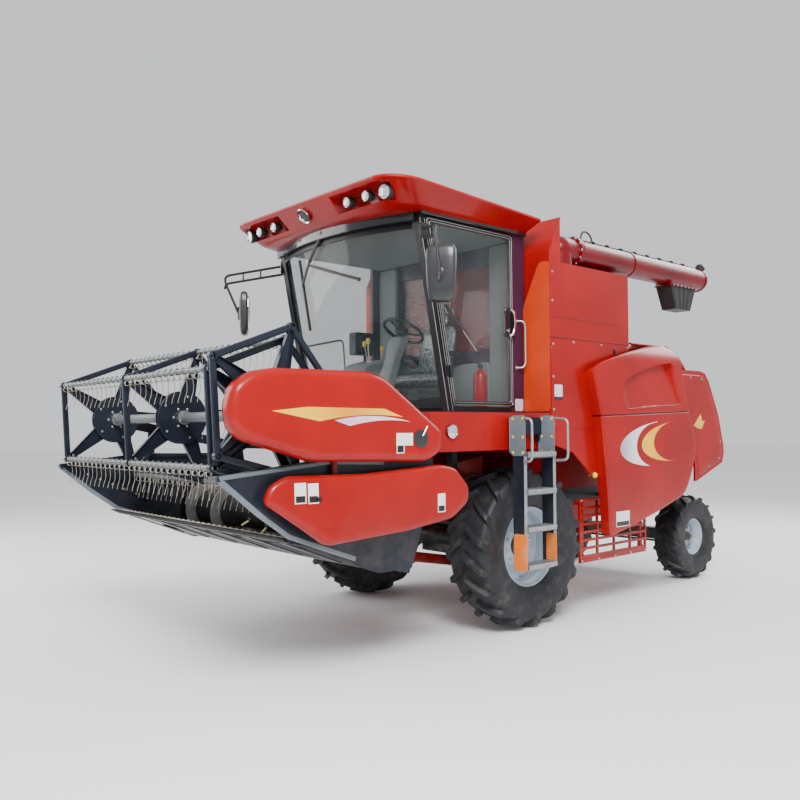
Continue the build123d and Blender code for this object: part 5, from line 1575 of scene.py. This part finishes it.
class HARVESTER_OT_unloader_trim(bpy.types.Operator):
    """Unloading tube: flange with bolts, conduit and clips, work lamp, end cap, collar and rubber spout"""
    bl_idname = "harvester.unloader_trim"
    bl_label = "Unloader trim"

    def execute(self, context):
        x, z = TUBE
        flange = turned([(-.012, .116), (-.012, .137), (.008, .137), (.008, .116)], (x, .69, z), Y, 56)
        rim = turned([(0, .116), (0, .122), (.03, .122), (.03, .116)], (x, 1.5, z), Y, 56)
        cap = turned([(-.02, .1165), (-.02, .121), (.004, .121), (.006, .117), (.006, .02)],
                     (x, 2.82, z), Y, 56)
        square = plate((-1, -1), (1, 1), .12, 60)
        collar = stacked((x, 2.4),
                         [(3.1, .09, .235), (3.022, .095, .24), (3.018, .106, .252),
                          (3.012, .106, .252)], square)
        Form().add(flange, rim, wrap_u=True).add(cap, collar).build("Unloader_Collars",
                                                                    "tube_paint", "unloader")
        turn = np.linspace(0, 2 * np.pi, 13)[:-1]
        spots = [(x + .127 * math.cos(a), .65, z + .127 * math.sin(a)) for a in turn]
        ends = [(x + .095 * math.cos(a), 2.826, z + .095 * math.sin(a)) for a in turn[::2]]
        studs = [(x + side * .106, y, 3.016) for side in (-1, 1) for y in np.arange(2.19, 2.62, .07)]
        form = Form().add(*bolts(spots, (0, -1, 0), .009), *bolts(ends, Y, .008))
        form.add(*bolts([(a, .698, c) for a, _, c in spots], Y, .009))
        for side in (-1, 1):
            form.add(*bolts([spot for spot in studs if (spot[0] - x) * side > 0], (side, 0, 0), .007))
        form.build("Unloader_Bolts", "zinc_steel", "unloader")
        cable = x + .02
        y = np.linspace(.72, 2.72, 60)
        line = np.column_stack((cable + .006 * np.sin(y * 9), y, np.full(60, z + .1215)))
        form = Form().add(carried(line, ring(.0055, 8)))
        form.add(carried(eased([(cable, .78, z + .11), (cable, .79, z + .19), (cable, .87, z + .215),
                                (cable, .94, z + .17), (cable, .95, z + .11)], .05, False),
                         ring(.0085, 12), X))
        for place in np.arange(.95, 2.7, .22):
            form.add(bar([(cable - .03, place, z + .118), (cable, place, z + .13),
                          (cable + .03, place, z + .112)], .02, .005, .001, Y))
        form.build("Unloader_Conduit", "black_plastic", "unloader")
        aim, lamp = (.15, .6, -.8), (x + .03, 2.84, z + .12)
        build_one("Unloader_Lamp", "black_plastic",
                  turned([(-.05, .02), (-.04, .04), (0, .05), (.02, .05), (.02, .043), (.012, .04)], lamp,
                         aim, 28), bar([(x + .03, 2.76, z + .1), (x + .03, 2.78, z + .15),
                                        (x + .03, 2.83, z + .15)], .03, .005, .001, X), body="unloader",
                  slot="lamp_plastic")
        build_one("Unloader_Lamp_Lens", "lamp_lens",
                  turned([(.006, .038), (.016, .036), (.02, .02)], lamp, aim, 28), body="unloader",
                  slot="clear_glass")
        self.spout(x)
        return {"FINISHED"}

    def spout(self, x):
        """Tapered rubber: at each level a rounded rectangle whose rim ripples, more so lower down."""
        square = plate((-1, -1), (1, 1), .1, 240)
        round_it = np.arctan2(square[:, 1], square[:, 0])
        rows = []
        for share in np.linspace(0, 1, 16):
            half, middle = .235 - .095 * share, 2.4
            deep = .092 - .012 * share
            ripple = 1 + (.01 + .03 * share) * np.sin(round_it * 16) * (.4 + .6 * np.cos(round_it) ** 2)
            rows.append(np.column_stack((x + square[:, 0] * deep * ripple, middle + square[:, 1] * half,
                                         np.full(240, 3.022 - .235 * share))))
        build_one("Rubber_Spout", "spout_rubber", np.array(rows), body="unloader",
                  replaces=("unloading_spout",))


class HARVESTER_OT_hoods(bpy.types.Operator):
    """Straw hood's pressed side skins, engine deck ribs, intake slats, bolts and tail lamps"""
    bl_idname = "harvester.hoods"
    bl_label = "Hoods"

    SKIN = [(2.1, 2.13), (2.6, 2.13), (2.672, 2.11), (2.735, 2.04), (2.918, 1.72), (3.016, 1.41),
            (3.02, 1.34), (2.99, 1.262), (2.53, 1.105), (2.5, 1.3), (2.3, 1.42), (2.1, 1.5)]

    def execute(self, context):
        outline = spread(eased(self.SKIN, .05), 180)
        skin = 1.208
        sheet = pressed(outline, lambda p, q: np.full(len(p), skin), 1.199, .012, .002, 8, (2.55, 1.7))
        build_pair("Straw_Hood_Skins", "red_paint", sheet)
        ribs, dark, fixings = Form(), Form(), Form()
        for x in np.linspace(-.9, .9, 7):
            ribs.add(bar([(x, 1.42, 2.4), (x, 2.0, 2.4)], .05, .014, .005))
        for y in (2.14, 2.5):
            ribs.add(bar([(-1.1, y, 2.175), (1.1, y, 2.175)], .05, .016, .005))
        ribs.build("Deck_Ribs", "red_paint")
        for y in np.linspace(2.08, 2.36, 8):
            dark.add(bar([(-.7, y, 2.4), (.7, y, 2.4)], .012, .012, .003))
        dark.build("Intake_Slats", "black_paint")
        for side in (-1, 1):
            fixings.add(*bolts([(side * skin, y, z) for y, z in ((2.15, 2.1), (2.4, 2.1), (2.62, 2.09),
                                                                 (2.98, 1.45), (2.955, 1.28), (2.75, 1.2))],
                               (side, 0, 0), .007))
            fixings.add(*bolts([(side * x, 1.5, 2.4) for x in (1.0, 1.08)], Z, .01))
        back = np.array((0, .953, .303))
        for z, y in ((1.7, 2.971), (1.452, 3.05)):
            fixings.add(*bolts([(x, y, z) for x in np.linspace(-.78, .78, 7)], back, .008))
        fixings.build("Hood_Bolts", "zinc_steel")
        case = flat_y(plate((.86, 1.48), (1.13, 1.6), .02), 2.99, 3.062, .005)
        build_pair("Tail_Lamps", "black_plastic", case)
        brake = flat_y(plate((.955, 1.491), (1.119, 1.589), .014), 3.055, 3.076, .006)
        build_pair("Tail_Lenses", "bright_red", brake, slot="lamp_plastic")
        turn = flat_y(plate((.871, 1.491), (.947, 1.589), .014), 3.055, 3.076, .006)
        build_pair("Turn_Lenses", "reflector_orange", turn)
        return {"FINISHED"}


class HARVESTER_OT_chassis(bpy.types.Operator):
    """Drive gearbox under the platform, and the grille guards' bright rails and bolts"""
    bl_idname = "harvester.chassis"
    bl_label = "Chassis"

    def execute(self, context):
        form = Form()
        body = [(-.2, .05), (-.19, .13), (-.1, .165), (0, .175), (.1, .165), (.19, .13), (.2, .05)]
        x, y, z = .62, -.02, 1.03
        form.add(turned(body, (x, y, z), X, 40))
        for along in (-.1, 0, .1):
            form.add(turned([(-.008, .16), (-.008, .185), (.008, .185), (.008, .16)], (x + along, y, z), X,
                            40), wrap_u=True)
        form.build("Drive_Gearbox", "khaki_paint")
        rail = Form().both(bar([(1.092, .71, .445), (1.092, 1.74, .445)], .006, .03, .002),
                           bar([(1.0925, .72, .97), (1.0925, 1.735, .97)], .006, .016, .002))
        rail.build("Guard_Rails", "bright_red")
        spots = [(1.0955, y, z) for y in np.linspace(.73, 1.72, 5) for z in (.445, .97)]
        build_pair("Guard_Bolts", "zinc_steel", *bolts(spots, X, .008))
        return {"FINISHED"}


# Cab

def lean(z):
    """How far forward the cab's front line stands at a height."""
    return -.736 - .3 * (z - 1.73) / 1.505


def screen(x, z, off=0.0):
    """A point on the bowed windshield, off metres in front of it: y = lean(z) - 0.19 (1 - (x/0.88)^2)."""
    x, z = np.asarray(x, float), np.asarray(z, float)
    return np.stack((x, lean(z) + .008 - .19 * (1 - (x / .88) ** 2) - off, z), -1)


class HARVESTER_OT_cab(bpy.types.Operator):
    """Cab: door trim and handle, pillars' edges, wipers, grab loops, headliner, floor mat and rear lining"""
    bl_idname = "harvester.cab"
    bl_label = "Cab"

    def execute(self, context):
        self.door()
        self.outside()
        self.wipers()
        self.lining()
        return {"FINISHED"}

    def door_line(self, inset, x):
        low, high = 1.788 + inset, 3.205 - inset
        return [(x, lean(low) + .072 + inset, low), (x, .02 - inset, low), (x, .02 - inset, high),
                (x, lean(high) + .072 + inset, high)]

    def door(self):
        strip = bevelled(.004, .005, .001)
        form = Form()
        for inset in (.004, .024):
            form.add(carried(loop(self.door_line(inset, .9415), .03), strip, X))
        form.build("Door_Edges", "bare_steel", "door", slot="chrome_rod")
        build_one("Door_Seal", "soft_rubber",
                  bar(loop(self.door_line(.031, .934), .04), .012, .014, .004, X), body="door")
        outline = plate((-.085, 2.36), (.014, 2.6), .025, 60)
        back = blade(outline, .941, .958, .005)
        lever = np.array([(.957, -.03, 2.37), (.978, -.012, 2.385), (.982, .004, 2.43), (.983, .008, 2.49),
                          (.98, .0, 2.56), (.96, -.02, 2.59)])
        build_one("Door_Handle_Plate", "black_gloss", back, body="door")
        build_one("Door_Handle_Lever", "chrome", bar(eased(lever, .02, False), .02, .008, .003, X),
                  turned([(0, .009), (.012, .009), (.014, .006)], (.957, -.055, 2.41), X, 16), body="door")
        strut = np.array([(.905, -.719, 2.562), (.905, -.365, 2.218)])
        middle = strut[0] + (strut[1] - strut[0]) * .52
        build_one("Door_Strut", "black_paint", carried([strut[0], middle], ring(.009, 14), X),
                  turned([(-.006, .012), (.012, .012)], strut[0], X, 14),
                  turned([(-.006, .012), (.012, .012)], strut[1], X, 14), body="door")
        build_one("Door_Strut_Rod", "chrome", carried([middle, strut[1]], ring(.0045, 12), X), body="door")

    def outside(self):
        form = Form()
        z = np.linspace(1.745, 3.19, 9)
        for back in (.004, .052):
            line = np.column_stack((np.full(9, .944), lean(z) + back, z))
            form.both(bar(line, .004, .004, .001, X))
        form.build("Pillar_Edges", "bare_steel", slot="chrome_rod")
        rails, feet = Form(), Form()
        y, low, high = .118, 2.11, 2.5
        path = eased([(.942, y - .05, high), (.985, y - .02, high), (.995, y, high - .03),
                      (.995, y, low + .03), (.985, y - .02, low), (.942, y - .05, low)], .03, False)
        rails.both(carried(path, ring(.0085, 14), Y))
        feet.both(*bolts([(.942, y - .05, low), (.942, y - .05, high)], X, .012, .006))
        path = eased([(-.96, -.757, 1.8), (-.965, -.757, 2.38), (-.965, -.3, 2.48),
                      (-.965, -.25, 1.9)], .05, False)
        rails.add(carried(path, ring(.011, 14), X))
        rails.build("Cab_Grab_Rails", "bare_steel", slot="chrome_rod")
        feet.build("Grab_Rail_Feet", "zinc_steel")
        outline = plate((.045, 1.75), (.145, 1.85), .006, 24)
        build_one("Pillar_Label", "label_white", blade(outline, .9405, .9415))

    def wipers(self):
        form = Form()
        thin, flat = ring(.0075, 10), bevelled(.026, .014, .004)
        for a, b in (((-.01, 3.2), (-.24, 3.03)), ((.012, 3.2), (-.215, 3.035))):
            run = np.linspace(a, b, 5)
            form.add(carried(screen(run[:, 0], run[:, 1], .03), thin, (0, 1, .2)))
        run = np.linspace((-.46, 3.07), (-.48, 2.47), 12)
        form.add(bar(screen(run[:, 0], run[:, 1], .012), .02, .024, .005, (0, 1, .2)))
        run = np.linspace((-.24, 3.03), (-.46, 2.85), 5)
        form.add(carried(screen(run[:, 0], run[:, 1], .026), flat, (0, 1, .2)))
        run = np.linspace((-.3, 3.0), (.33, 2.8), 12)
        form.add(bar(screen(run[:, 0], run[:, 1], .016), .022, .022, .005, (0, 1, .2)))
        form.add(turned([(-.02, .03), (.02, .03), (.028, .02)], screen(0.0, 3.2, .012), (0, -1, -.2), 20),
                 turned([(0, .018), (.02, .018), (.024, .01)], screen(-.24, 3.03, .016), (0, -1, -.2), 16),
                 turned([(0, .016), (.018, .016), (.022, .01)], screen(.33, 2.8, .006), (0, -1, -.2), 16))
        form.build("Wipers", "black_plastic")
        x = np.linspace(-.86, .86, 33)
        build_one("Windshield_Band", "pillar_paint",
                  bar(screen(x, np.full(33, 3.16), .006), .006, .085, .002))

    def lining(self):
        """Headliner with a moulded rim, padded rear wall round its window, floor mat with ribs."""
        x = np.linspace(-1, 1, 25)
        front = np.column_stack((x * .86, lean(3.15) + .09 - .17 * (1 - x ** 2)))
        outline = np.vstack((front, [(.86, .1), (-.86, .1)]))
        outline = spread(eased(outline, .03), 160)
        levels = [(3.235, 1.0), (3.2, 1.0), (3.185, .985), (3.19, .95), (3.2, .9), (3.2, .3)]
        middle = np.array((0, -.5))
        rows = [np.column_stack((middle + (outline - middle) * scale, np.full(160, z)))
                for z, scale in levels]
        build_one("Headliner", "cab_lining", np.array(rows))
        form = Form()
        for low, high in (((-.875, 1.75), (-.61, 3.18)), ((.61, 1.75), (.875, 3.18)),
                          ((-.61, 1.75), (.61, 2.18))):
            pad = plate(low, high, .04, 60)
            form.add(flat_y(pad, 0, .03, .012) * (1, -1, 1) + (0, .118, 0))
        form.build("Rear_Lining", "cab_lining")
        mat = plate((-.86, -.66), (.86, .1), .05, 80)
        form = Form().add(flat_z(mat, 1.735, 1.745, .004))
        for y in np.arange(-.6, .05, .055):
            form.add(bar([(-.84, y, 1.747), (.84, y, 1.747)], .016, .006, .002))
        form.build("Floor_Mat", "soft_rubber")


def cushion_edge(angle):
    """An angle's cosine and sine, and the reach there of a superellipse whose sides are pulled in."""
    c, s = np.cos(angle), np.sin(angle)
    return c, s, (np.abs(c) ** 4.5 + np.abs(s) ** 4.5) ** (-1 / 4.5) * (1 - .035 * np.cos(2 * angle) ** 2)


def cushion(centre, half, thick, axes, crown, seams):
    """A crowned closed form. Along each spoke the radius is cos(t)^0.42 and the height sin(t) times half
    the thickness, plus a crown that falls with the squared radius. A sewn seam presses a narrow groove at
    its place along the second axis."""
    c, s, reach = cushion_edge(np.linspace(0, 2 * np.pi, 96, endpoint=False)[None])
    t = np.linspace(-np.pi / 2 + .03, np.pi / 2 - .03, 34)[:, None]
    share = np.cos(t) ** .42
    a, b = half[0] * reach * c * share, half[1] * reach * s * share
    height = np.sin(t) * thick / 2 + crown * (np.sin(t) > 0) * (1 - share ** 2) * np.sin(t)
    for place in seams:
        height = height - np.sign(height) * .007 * np.exp(-((b - place) / .007) ** 2) * (share < .97)
    x, y, z = (np.asarray(axis, float) for axis in axes)
    return np.asarray(centre) + a[..., None] * x + b[..., None] * y + height[..., None] * z


class HARVESTER_OT_seat(bpy.types.Operator):
    """Seat: crowned cushions with sewn channels and piping, armrests, and a bellows over its base"""
    bl_idname = "harvester.seat"
    bl_label = "Seat"

    def execute(self, context):
        tilt = math.atan2(.09, .5)
        up = np.array((0, math.sin(tilt), math.cos(tilt)))
        out = np.array((0, -math.cos(tilt), math.sin(tilt)))
        across = np.array(X)
        pads = {
            "Seat_Cushion": ((0, -.185, 2.02), (.245, .225), .115, (across, Y, Z), (-.07, .06)),
            "Seat_Backrest": ((0, .055, 2.315), (.225, .235), .095, (across, up, out), (-.1, 0, .1)),
            "Seat_Headrest": ((0, .09, 2.6), (.12, .055), .07, (across, up, out), ()),
        }
        for name, (centre, half, thick, axes, seams) in pads.items():
            piece = build_one(name, "seat_cloth", cushion(centre, half, thick, axes, .02, seams),
                              replaces=("operator_seat",) if name == "Seat_Cushion" else (), smooth=60)
            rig.padded(piece, fill=0.6)
            self.piping(name, centre, half, thick, axes)
        self.base()
        return {"FINISHED"}

    def piping(self, name, centre, half, thick, axes):
        c, s, reach = cushion_edge(np.linspace(0, 2 * np.pi, 97))
        x, y, z = (np.asarray(axis, float) for axis in axes)
        path = np.asarray(centre) + (half[0] * reach * c)[:, None] * x + (half[1] * reach * s)[:, None] * y
        build_one(name + "_Piping", "soft_rubber", carried(path, ring(.0045, 8), z))

    def base(self):
        square = plate((-1, -1), (1, 1), .25, 60)
        levels = [(1.752, .19, .18)]
        for k in range(9):
            z = 1.765 + k * .018
            levels += [(z, .165, .15), (z + .009, .18, .165)]
        levels += [(1.945, .2, .18), (1.958, .2, .18)]
        build_one("Seat_Bellows", "soft_rubber", stacked((0, -.17), levels, square))
        form = Form()
        for side in (-1, 1):
            path = eased([(side * .262, .09, 2.2), (side * .275, .02, 2.27),
                          (side * .275, -.22, 2.28)], .04, False)
            form.add(bar(path, .05, .045, .016))
        form.build("Seat_Armrests", "black_plastic")


class HARVESTER_OT_controls(bpy.types.Operator):
    """Steering column and wheel, the control box with its levers and screen, and the fire extinguisher"""
    bl_idname = "harvester.controls"
    bl_label = "Controls"

    def execute(self, context):
        centre, axis = np.array((.08, -.43, 2.46)), np.array((0, .5, .86))
        axis = axis / np.linalg.norm(axis)
        _, side, up = square_to(axis)
        circle = ring(.18, 64)
        path = centre + circle[:, :1] * side + circle[:, 1:] * up
        wheel = Form().add(carried(np.vstack((path, path[:1])), ring(.0145, 14), axis))
        for angle in (90, 210, 330):
            a = math.radians(angle)
            arm = math.cos(a) * side + math.sin(a) * up
            spoke = [centre + arm * .03 - axis * .02, centre + arm * .1 - axis * .012, centre + arm * .178]
            wheel.add(bar(eased(spoke, .03, False), .03, .01, .004, axis))
        wheel.add(turned([(-.045, .03), (-.02, .048), (0, .052), (.008, .045), (.012, .02)],
                         centre, axis, 40))
        wheel.build("Steering_Wheel", "black_plastic", slot="cab_plastic", replaces=("steering_console",))
        square = plate((-1, -1), (1, 1), .55, 60)
        rows = []
        for share, wide, deep in ((0, .11, .09), (.03, .105, .085), (.3, .075, .065), (.7, .06, .055),
                                  (.85, .075, .07), (.93, .07, .065), (.95, .05, .05)):
            y, z = -.66 + share * .2, 1.748 + share * .69
            rows += list(stacked((share * .08, y), [(z, wide, deep)], square))
        build_one("Steering_Column", "cab_trim", np.array(rows))
        self.box()
        return {"FINISHED"}

    def box(self):
        outline = spread(eased([(-.64, 1.748), (.04, 1.748), (.04, 2.22), (-.3, 2.25), (-.5, 2.2),
                                (-.64, 2.06)], .05), 120)
        grid = blade(outline, -.64, -.33, .02)
        low = blade(outline, -.63, -.645, .02)[::-1]
        build_one("Control_Box", "cab_trim", np.concatenate((low[:1], grid)))
        levers, knobs = Form(), Form()
        for x, y, rise, reach in ((-.42, -.4, .2, .02), (-.5, -.36, .18, 0), (-.45, -.22, .14, .03),
                                  (-.4, -.1, .12, .02)):
            foot = np.array((x, y, 2.215))
            tip = foot + (0, -.04 + reach, rise)
            levers.add(carried(eased([foot, foot + (0, -.02, rise * .5), tip], .03, False),
                               ring(.006, 10), X))
            levers.add(turned([(0, .03), (.012, .026), (.02, .012)], foot, Z, 20))
            knobs.add(turned([(-.03, .01), (-.02, .018), (.005, .021), (.02, .017),
                              (.028, .006)], tip, Z, 20))
        levers.build("Control_Levers", "bare_steel")
        knobs.build("Lever_Knobs", "knob_yellow")
        square = plate((-1, -1), (1, 1), .2, 40)
        screen_box = stacked((-.62, -.34),
                             [(2.3, .05, .1), (2.31, .055, .11), (2.5, .055, .11), (2.51, .05, .1)], square)
        build_one("Monitor", "black_plastic", screen_box,
                  carried([(-.62, -.3, 2.2), (-.62, -.3, 2.31)], ring(.014, 12), X), slot="cab_plastic")
        bottle_at = (.72, -.14)
        bottle = turned([(0, .03), (.004, .055), (.02, .058), (.29, .058), (.33, .04), (.345, .018),
                         (.36, .018)], (*bottle_at, 1.75), Z, 32)
        build_one("Extinguisher", "red_paint", bottle)
        build_one("Extinguisher_Valve", "black_plastic",
                  turned([(0, .02), (.03, .022), (.04, .012)], (*bottle_at, 2.108), Z, 16),
                  bar([(*bottle_at, 2.14), (.72, -.22, 2.165)], .02, .006, .002))


# A head's middle as (x, y), and its arms' foot on the cab's corner
MIRROR = (1.33, -1.175)
MIRROR_FOOT = (.95, -.982, 3.115)


class HARVESTER_OT_mirrors(bpy.types.Operator):
    """Mirror heads in ribbed housings on bent tube arms with clamps"""
    bl_idname = "harvester.mirrors"
    bl_label = "Mirrors"

    def execute(self, context):
        heads, glass, arms, clamps = Form(), Form(), Form(), Form()
        x, y, z = MIRROR_FOOT
        square = plate((-1, -1), (1, 1), .6, 72)
        for side in (1, -1):
            turn = side * math.radians(35)
            levels = [(2.49, .05, .012), (2.497, .07, .024), (2.52, .088, .034), (2.6, .1, .042),
                      (2.7, .106, .046), (2.8, .109, .046), (2.86, .106, .04), (2.892, .088, .028),
                      (2.902, .06, .012)]
            heads.add(stacked((side * MIRROR[0], MIRROR[1]), levels, square, turn))
            away = np.array((-math.sin(turn), math.cos(turn))) * .0395
            levels = [(2.54, .076, .003), (2.555, .084, .003), (2.82, .092, .003), (2.835, .084, .003)]
            glass.add(stacked((side * MIRROR[0] + away[0], MIRROR[1] + away[1]), levels, square, turn))
            near = np.array((-math.sin(turn), math.cos(turn))) * -.046
            hub = np.array((side * MIRROR[0] + near[0], MIRROR[1] + near[1], 2.7))
            clamps.add(turned([(-.012, .03), (.006, .03), (.012, .02)], hub,
                              (math.sin(turn), -math.cos(turn), 0), 24))
            clamps.add(bar([hub + (0, 0, -.06), hub + (0, 0, .06)], .034, .02, .005, X))
            pad = np.array((side * x, y, z))
            knee = np.array((1.31, -1.215, 3.03) if side > 0 else (-1.42, -1.32, 3.05))
            for drop in (0.0, -.075):
                path = [pad + (side * .006, 0, drop), knee + (0, 0, drop),
                        knee + (side * .01, -.007, drop - .05), (*hub[:2] + near * .2, 2.7)]
                arms.add(carried(eased(path[:4 if drop == 0 else 3], .05, False),
                                 ring(.0115, 14), (0, .3, 1)))
            for share in (.4, .7):
                spot = pad + (knee - pad) * share
                arms.add(carried([spot, spot - (0, 0, .075)], ring(.007, 10), X))
            clamp = blade(plate((-.04, -.075), (.04, .04), .01, 32), 0, side * .01)
            clamps.add(clamp + (side * .941, y, z))
            clamps.add(*bolts([(side * x, y + a, z + b) for a in (-.028, .028) for b in (-.06, .028)],
                              (side, 0, 0), .007))
        heads.build("Mirror_Housings", "mirror_plastic", replaces=("mirrors",), smooth=40)
        glass.build("Mirror_Glass", "mirror_glass")
        arms.build("Mirror_Arms", "black_paint")
        clamps.build("Mirror_Clamps", "black_plastic")
        return {"FINISHED"}


# Stage: floor, light and camera

CAMERA_AT = np.array([5.4294, -5.1492, 1.6164])
CAMERA_HEADING = (-.74298, .66931)
CAMERA_PITCH = .0269
CAMERA_ROLL = -.0066
FOCAL_PIXELS = 820.18
CENTRE_PIXEL = (412.33, 405.66)
PICTURE = 800
SENSOR_WIDTH = 36.0


class HARVESTER_OT_stage(bpy.types.Operator):
    """Pale floor, soft studio light and the camera at the photograph's angle"""
    bl_idname = "harvester.stage"
    bl_label = "Stage"

    def execute(self, context):
        self.floor()
        self.lights(context)
        self.camera(context)
        return {"FINISHED"}

    def floor(self):
        size, depth = 60.0, -.002
        mesh = bpy.data.meshes.new("Floor")
        mesh.from_pydata([(-size, -size, depth), (size, -size, depth), (size, size, depth),
                          (-size, size, depth)], [], [(0, 1, 2, 3)])
        floor = bpy.data.objects.new("Floor", mesh)
        bpy.context.collection.objects.link(floor)
        f = Finish("Floor_Finish")
        mesh.materials.append(f.surface(base=rgb(.93, .93, .93), rough=.8))
        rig.stage(floor)

    def lights(self, context):
        world = bpy.data.worlds.new("Studio")
        context.scene.world = world
        world.use_nodes = True
        background = world.node_tree.nodes["Background"]
        background.inputs["Color"].default_value = (.95, .97, 1.0, 1.0)
        background.inputs["Strength"].default_value = settings().sky
        for name, place, size, power in (("Key", (6.5, -5.5, 8.0), 4.0, 1500),
                                         ("Fill", (-7.0, -6.0, 5.0), 6.0, 550),
                                         ("Back", (1.0, 8.0, 7.0), 5.0, 600)):
            lamp = bpy.data.lights.new(name, "AREA")
            lamp.size, lamp.energy = size, power
            piece = bpy.data.objects.new(name, lamp)
            bpy.context.collection.objects.link(piece)
            piece.location = place
            aim = Vector((0, 0, 1.4)) - Vector(place)
            piece.rotation_euler = aim.to_track_quat("-Z", "Y").to_euler()

    def camera(self, context):
        heading = Vector((*CAMERA_HEADING, 0)).normalized()
        right = Vector((heading.y, -heading.x, 0))
        up = Vector(Z)
        forward = heading * math.cos(CAMERA_PITCH) + up * math.sin(CAMERA_PITCH)
        up = -heading * math.sin(CAMERA_PITCH) + up * math.cos(CAMERA_PITCH)
        rolled = right * math.cos(CAMERA_ROLL) + up * math.sin(CAMERA_ROLL)
        up = -right * math.sin(CAMERA_ROLL) + up * math.cos(CAMERA_ROLL)
        camera = bpy.data.objects.new("Camera", bpy.data.cameras.new("Camera"))
        bpy.context.collection.objects.link(camera)
        place = Matrix((rolled, up, -forward)).transposed().to_4x4()
        place.translation = Vector(CAMERA_AT + SHIFT)
        camera.matrix_world = place
        camera.data.sensor_width = SENSOR_WIDTH
        camera.data.lens = SENSOR_WIDTH * FOCAL_PIXELS / PICTURE
        camera.data.shift_x = (PICTURE / 2 - CENTRE_PIXEL[0]) / PICTURE
        camera.data.shift_y = (CENTRE_PIXEL[1] - PICTURE / 2) / PICTURE
        camera.data.clip_end = 200.0
        context.scene.camera = camera


class HarvesterSettings(bpy.types.PropertyGroup):
    paint: bpy.props.FloatVectorProperty(name="Paint", description="Colour of the red paint", subtype="COLOR",
                                         size=3, min=0, max=1, default=(.34, .0012, .0008))
    sky: bpy.props.FloatProperty(name="Sky", description="Strength of the even light from all round",
                                 default=.9, min=0)


class HARVESTER_PT_panel(bpy.types.Panel):
    """Lists the harvester's settings and steps"""
    bl_label = "Harvester"
    bl_idname = "HARVESTER_PT_panel"
    bl_space_type = "VIEW_3D"
    bl_region_type = "UI"
    bl_category = "Harvester"

    def draw(self, context):
        layout = self.layout
        for name in HarvesterSettings.__annotations__:
            layout.prop(context.scene.harvester, name)
        for step in STEPS:
            layout.operator(step.bl_idname)


STEPS = (HARVESTER_OT_stage, HARVESTER_OT_node_finishes, HARVESTER_OT_tyres, HARVESTER_OT_rims,
         HARVESTER_OT_reel_cover, HARVESTER_OT_header_cover, HARVESTER_OT_side_panels, HARVESTER_OT_roof,
         HARVESTER_OT_lamps, HARVESTER_OT_reel, HARVESTER_OT_header, HARVESTER_OT_ladder,
         HARVESTER_OT_tank_trim, HARVESTER_OT_unloader_trim, HARVESTER_OT_hoods, HARVESTER_OT_chassis,
         HARVESTER_OT_cab, HARVESTER_OT_seat, HARVESTER_OT_controls, HARVESTER_OT_mirrors)
CLASSES = (HarvesterSettings, HARVESTER_PT_panel) + STEPS


def register():
    for each in CLASSES:
        bpy.utils.register_class(each)
    bpy.types.Scene.harvester = bpy.props.PointerProperty(type=HarvesterSettings)


def unregister():
    del bpy.types.Scene.harvester
    for each in reversed(CLASSES):
        bpy.utils.unregister_class(each)


def main():
    register()
    for step in STEPS:
        group, name = step.bl_idname.split(".")
        getattr(getattr(bpy.ops, group), name)()
    dressed = [list(corner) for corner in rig.bounds()]
    with open("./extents.json", "w") as out:
        json.dump({"cad": cad_box, "dressed": dressed}, out)


if __name__ == "__main__":
    main()
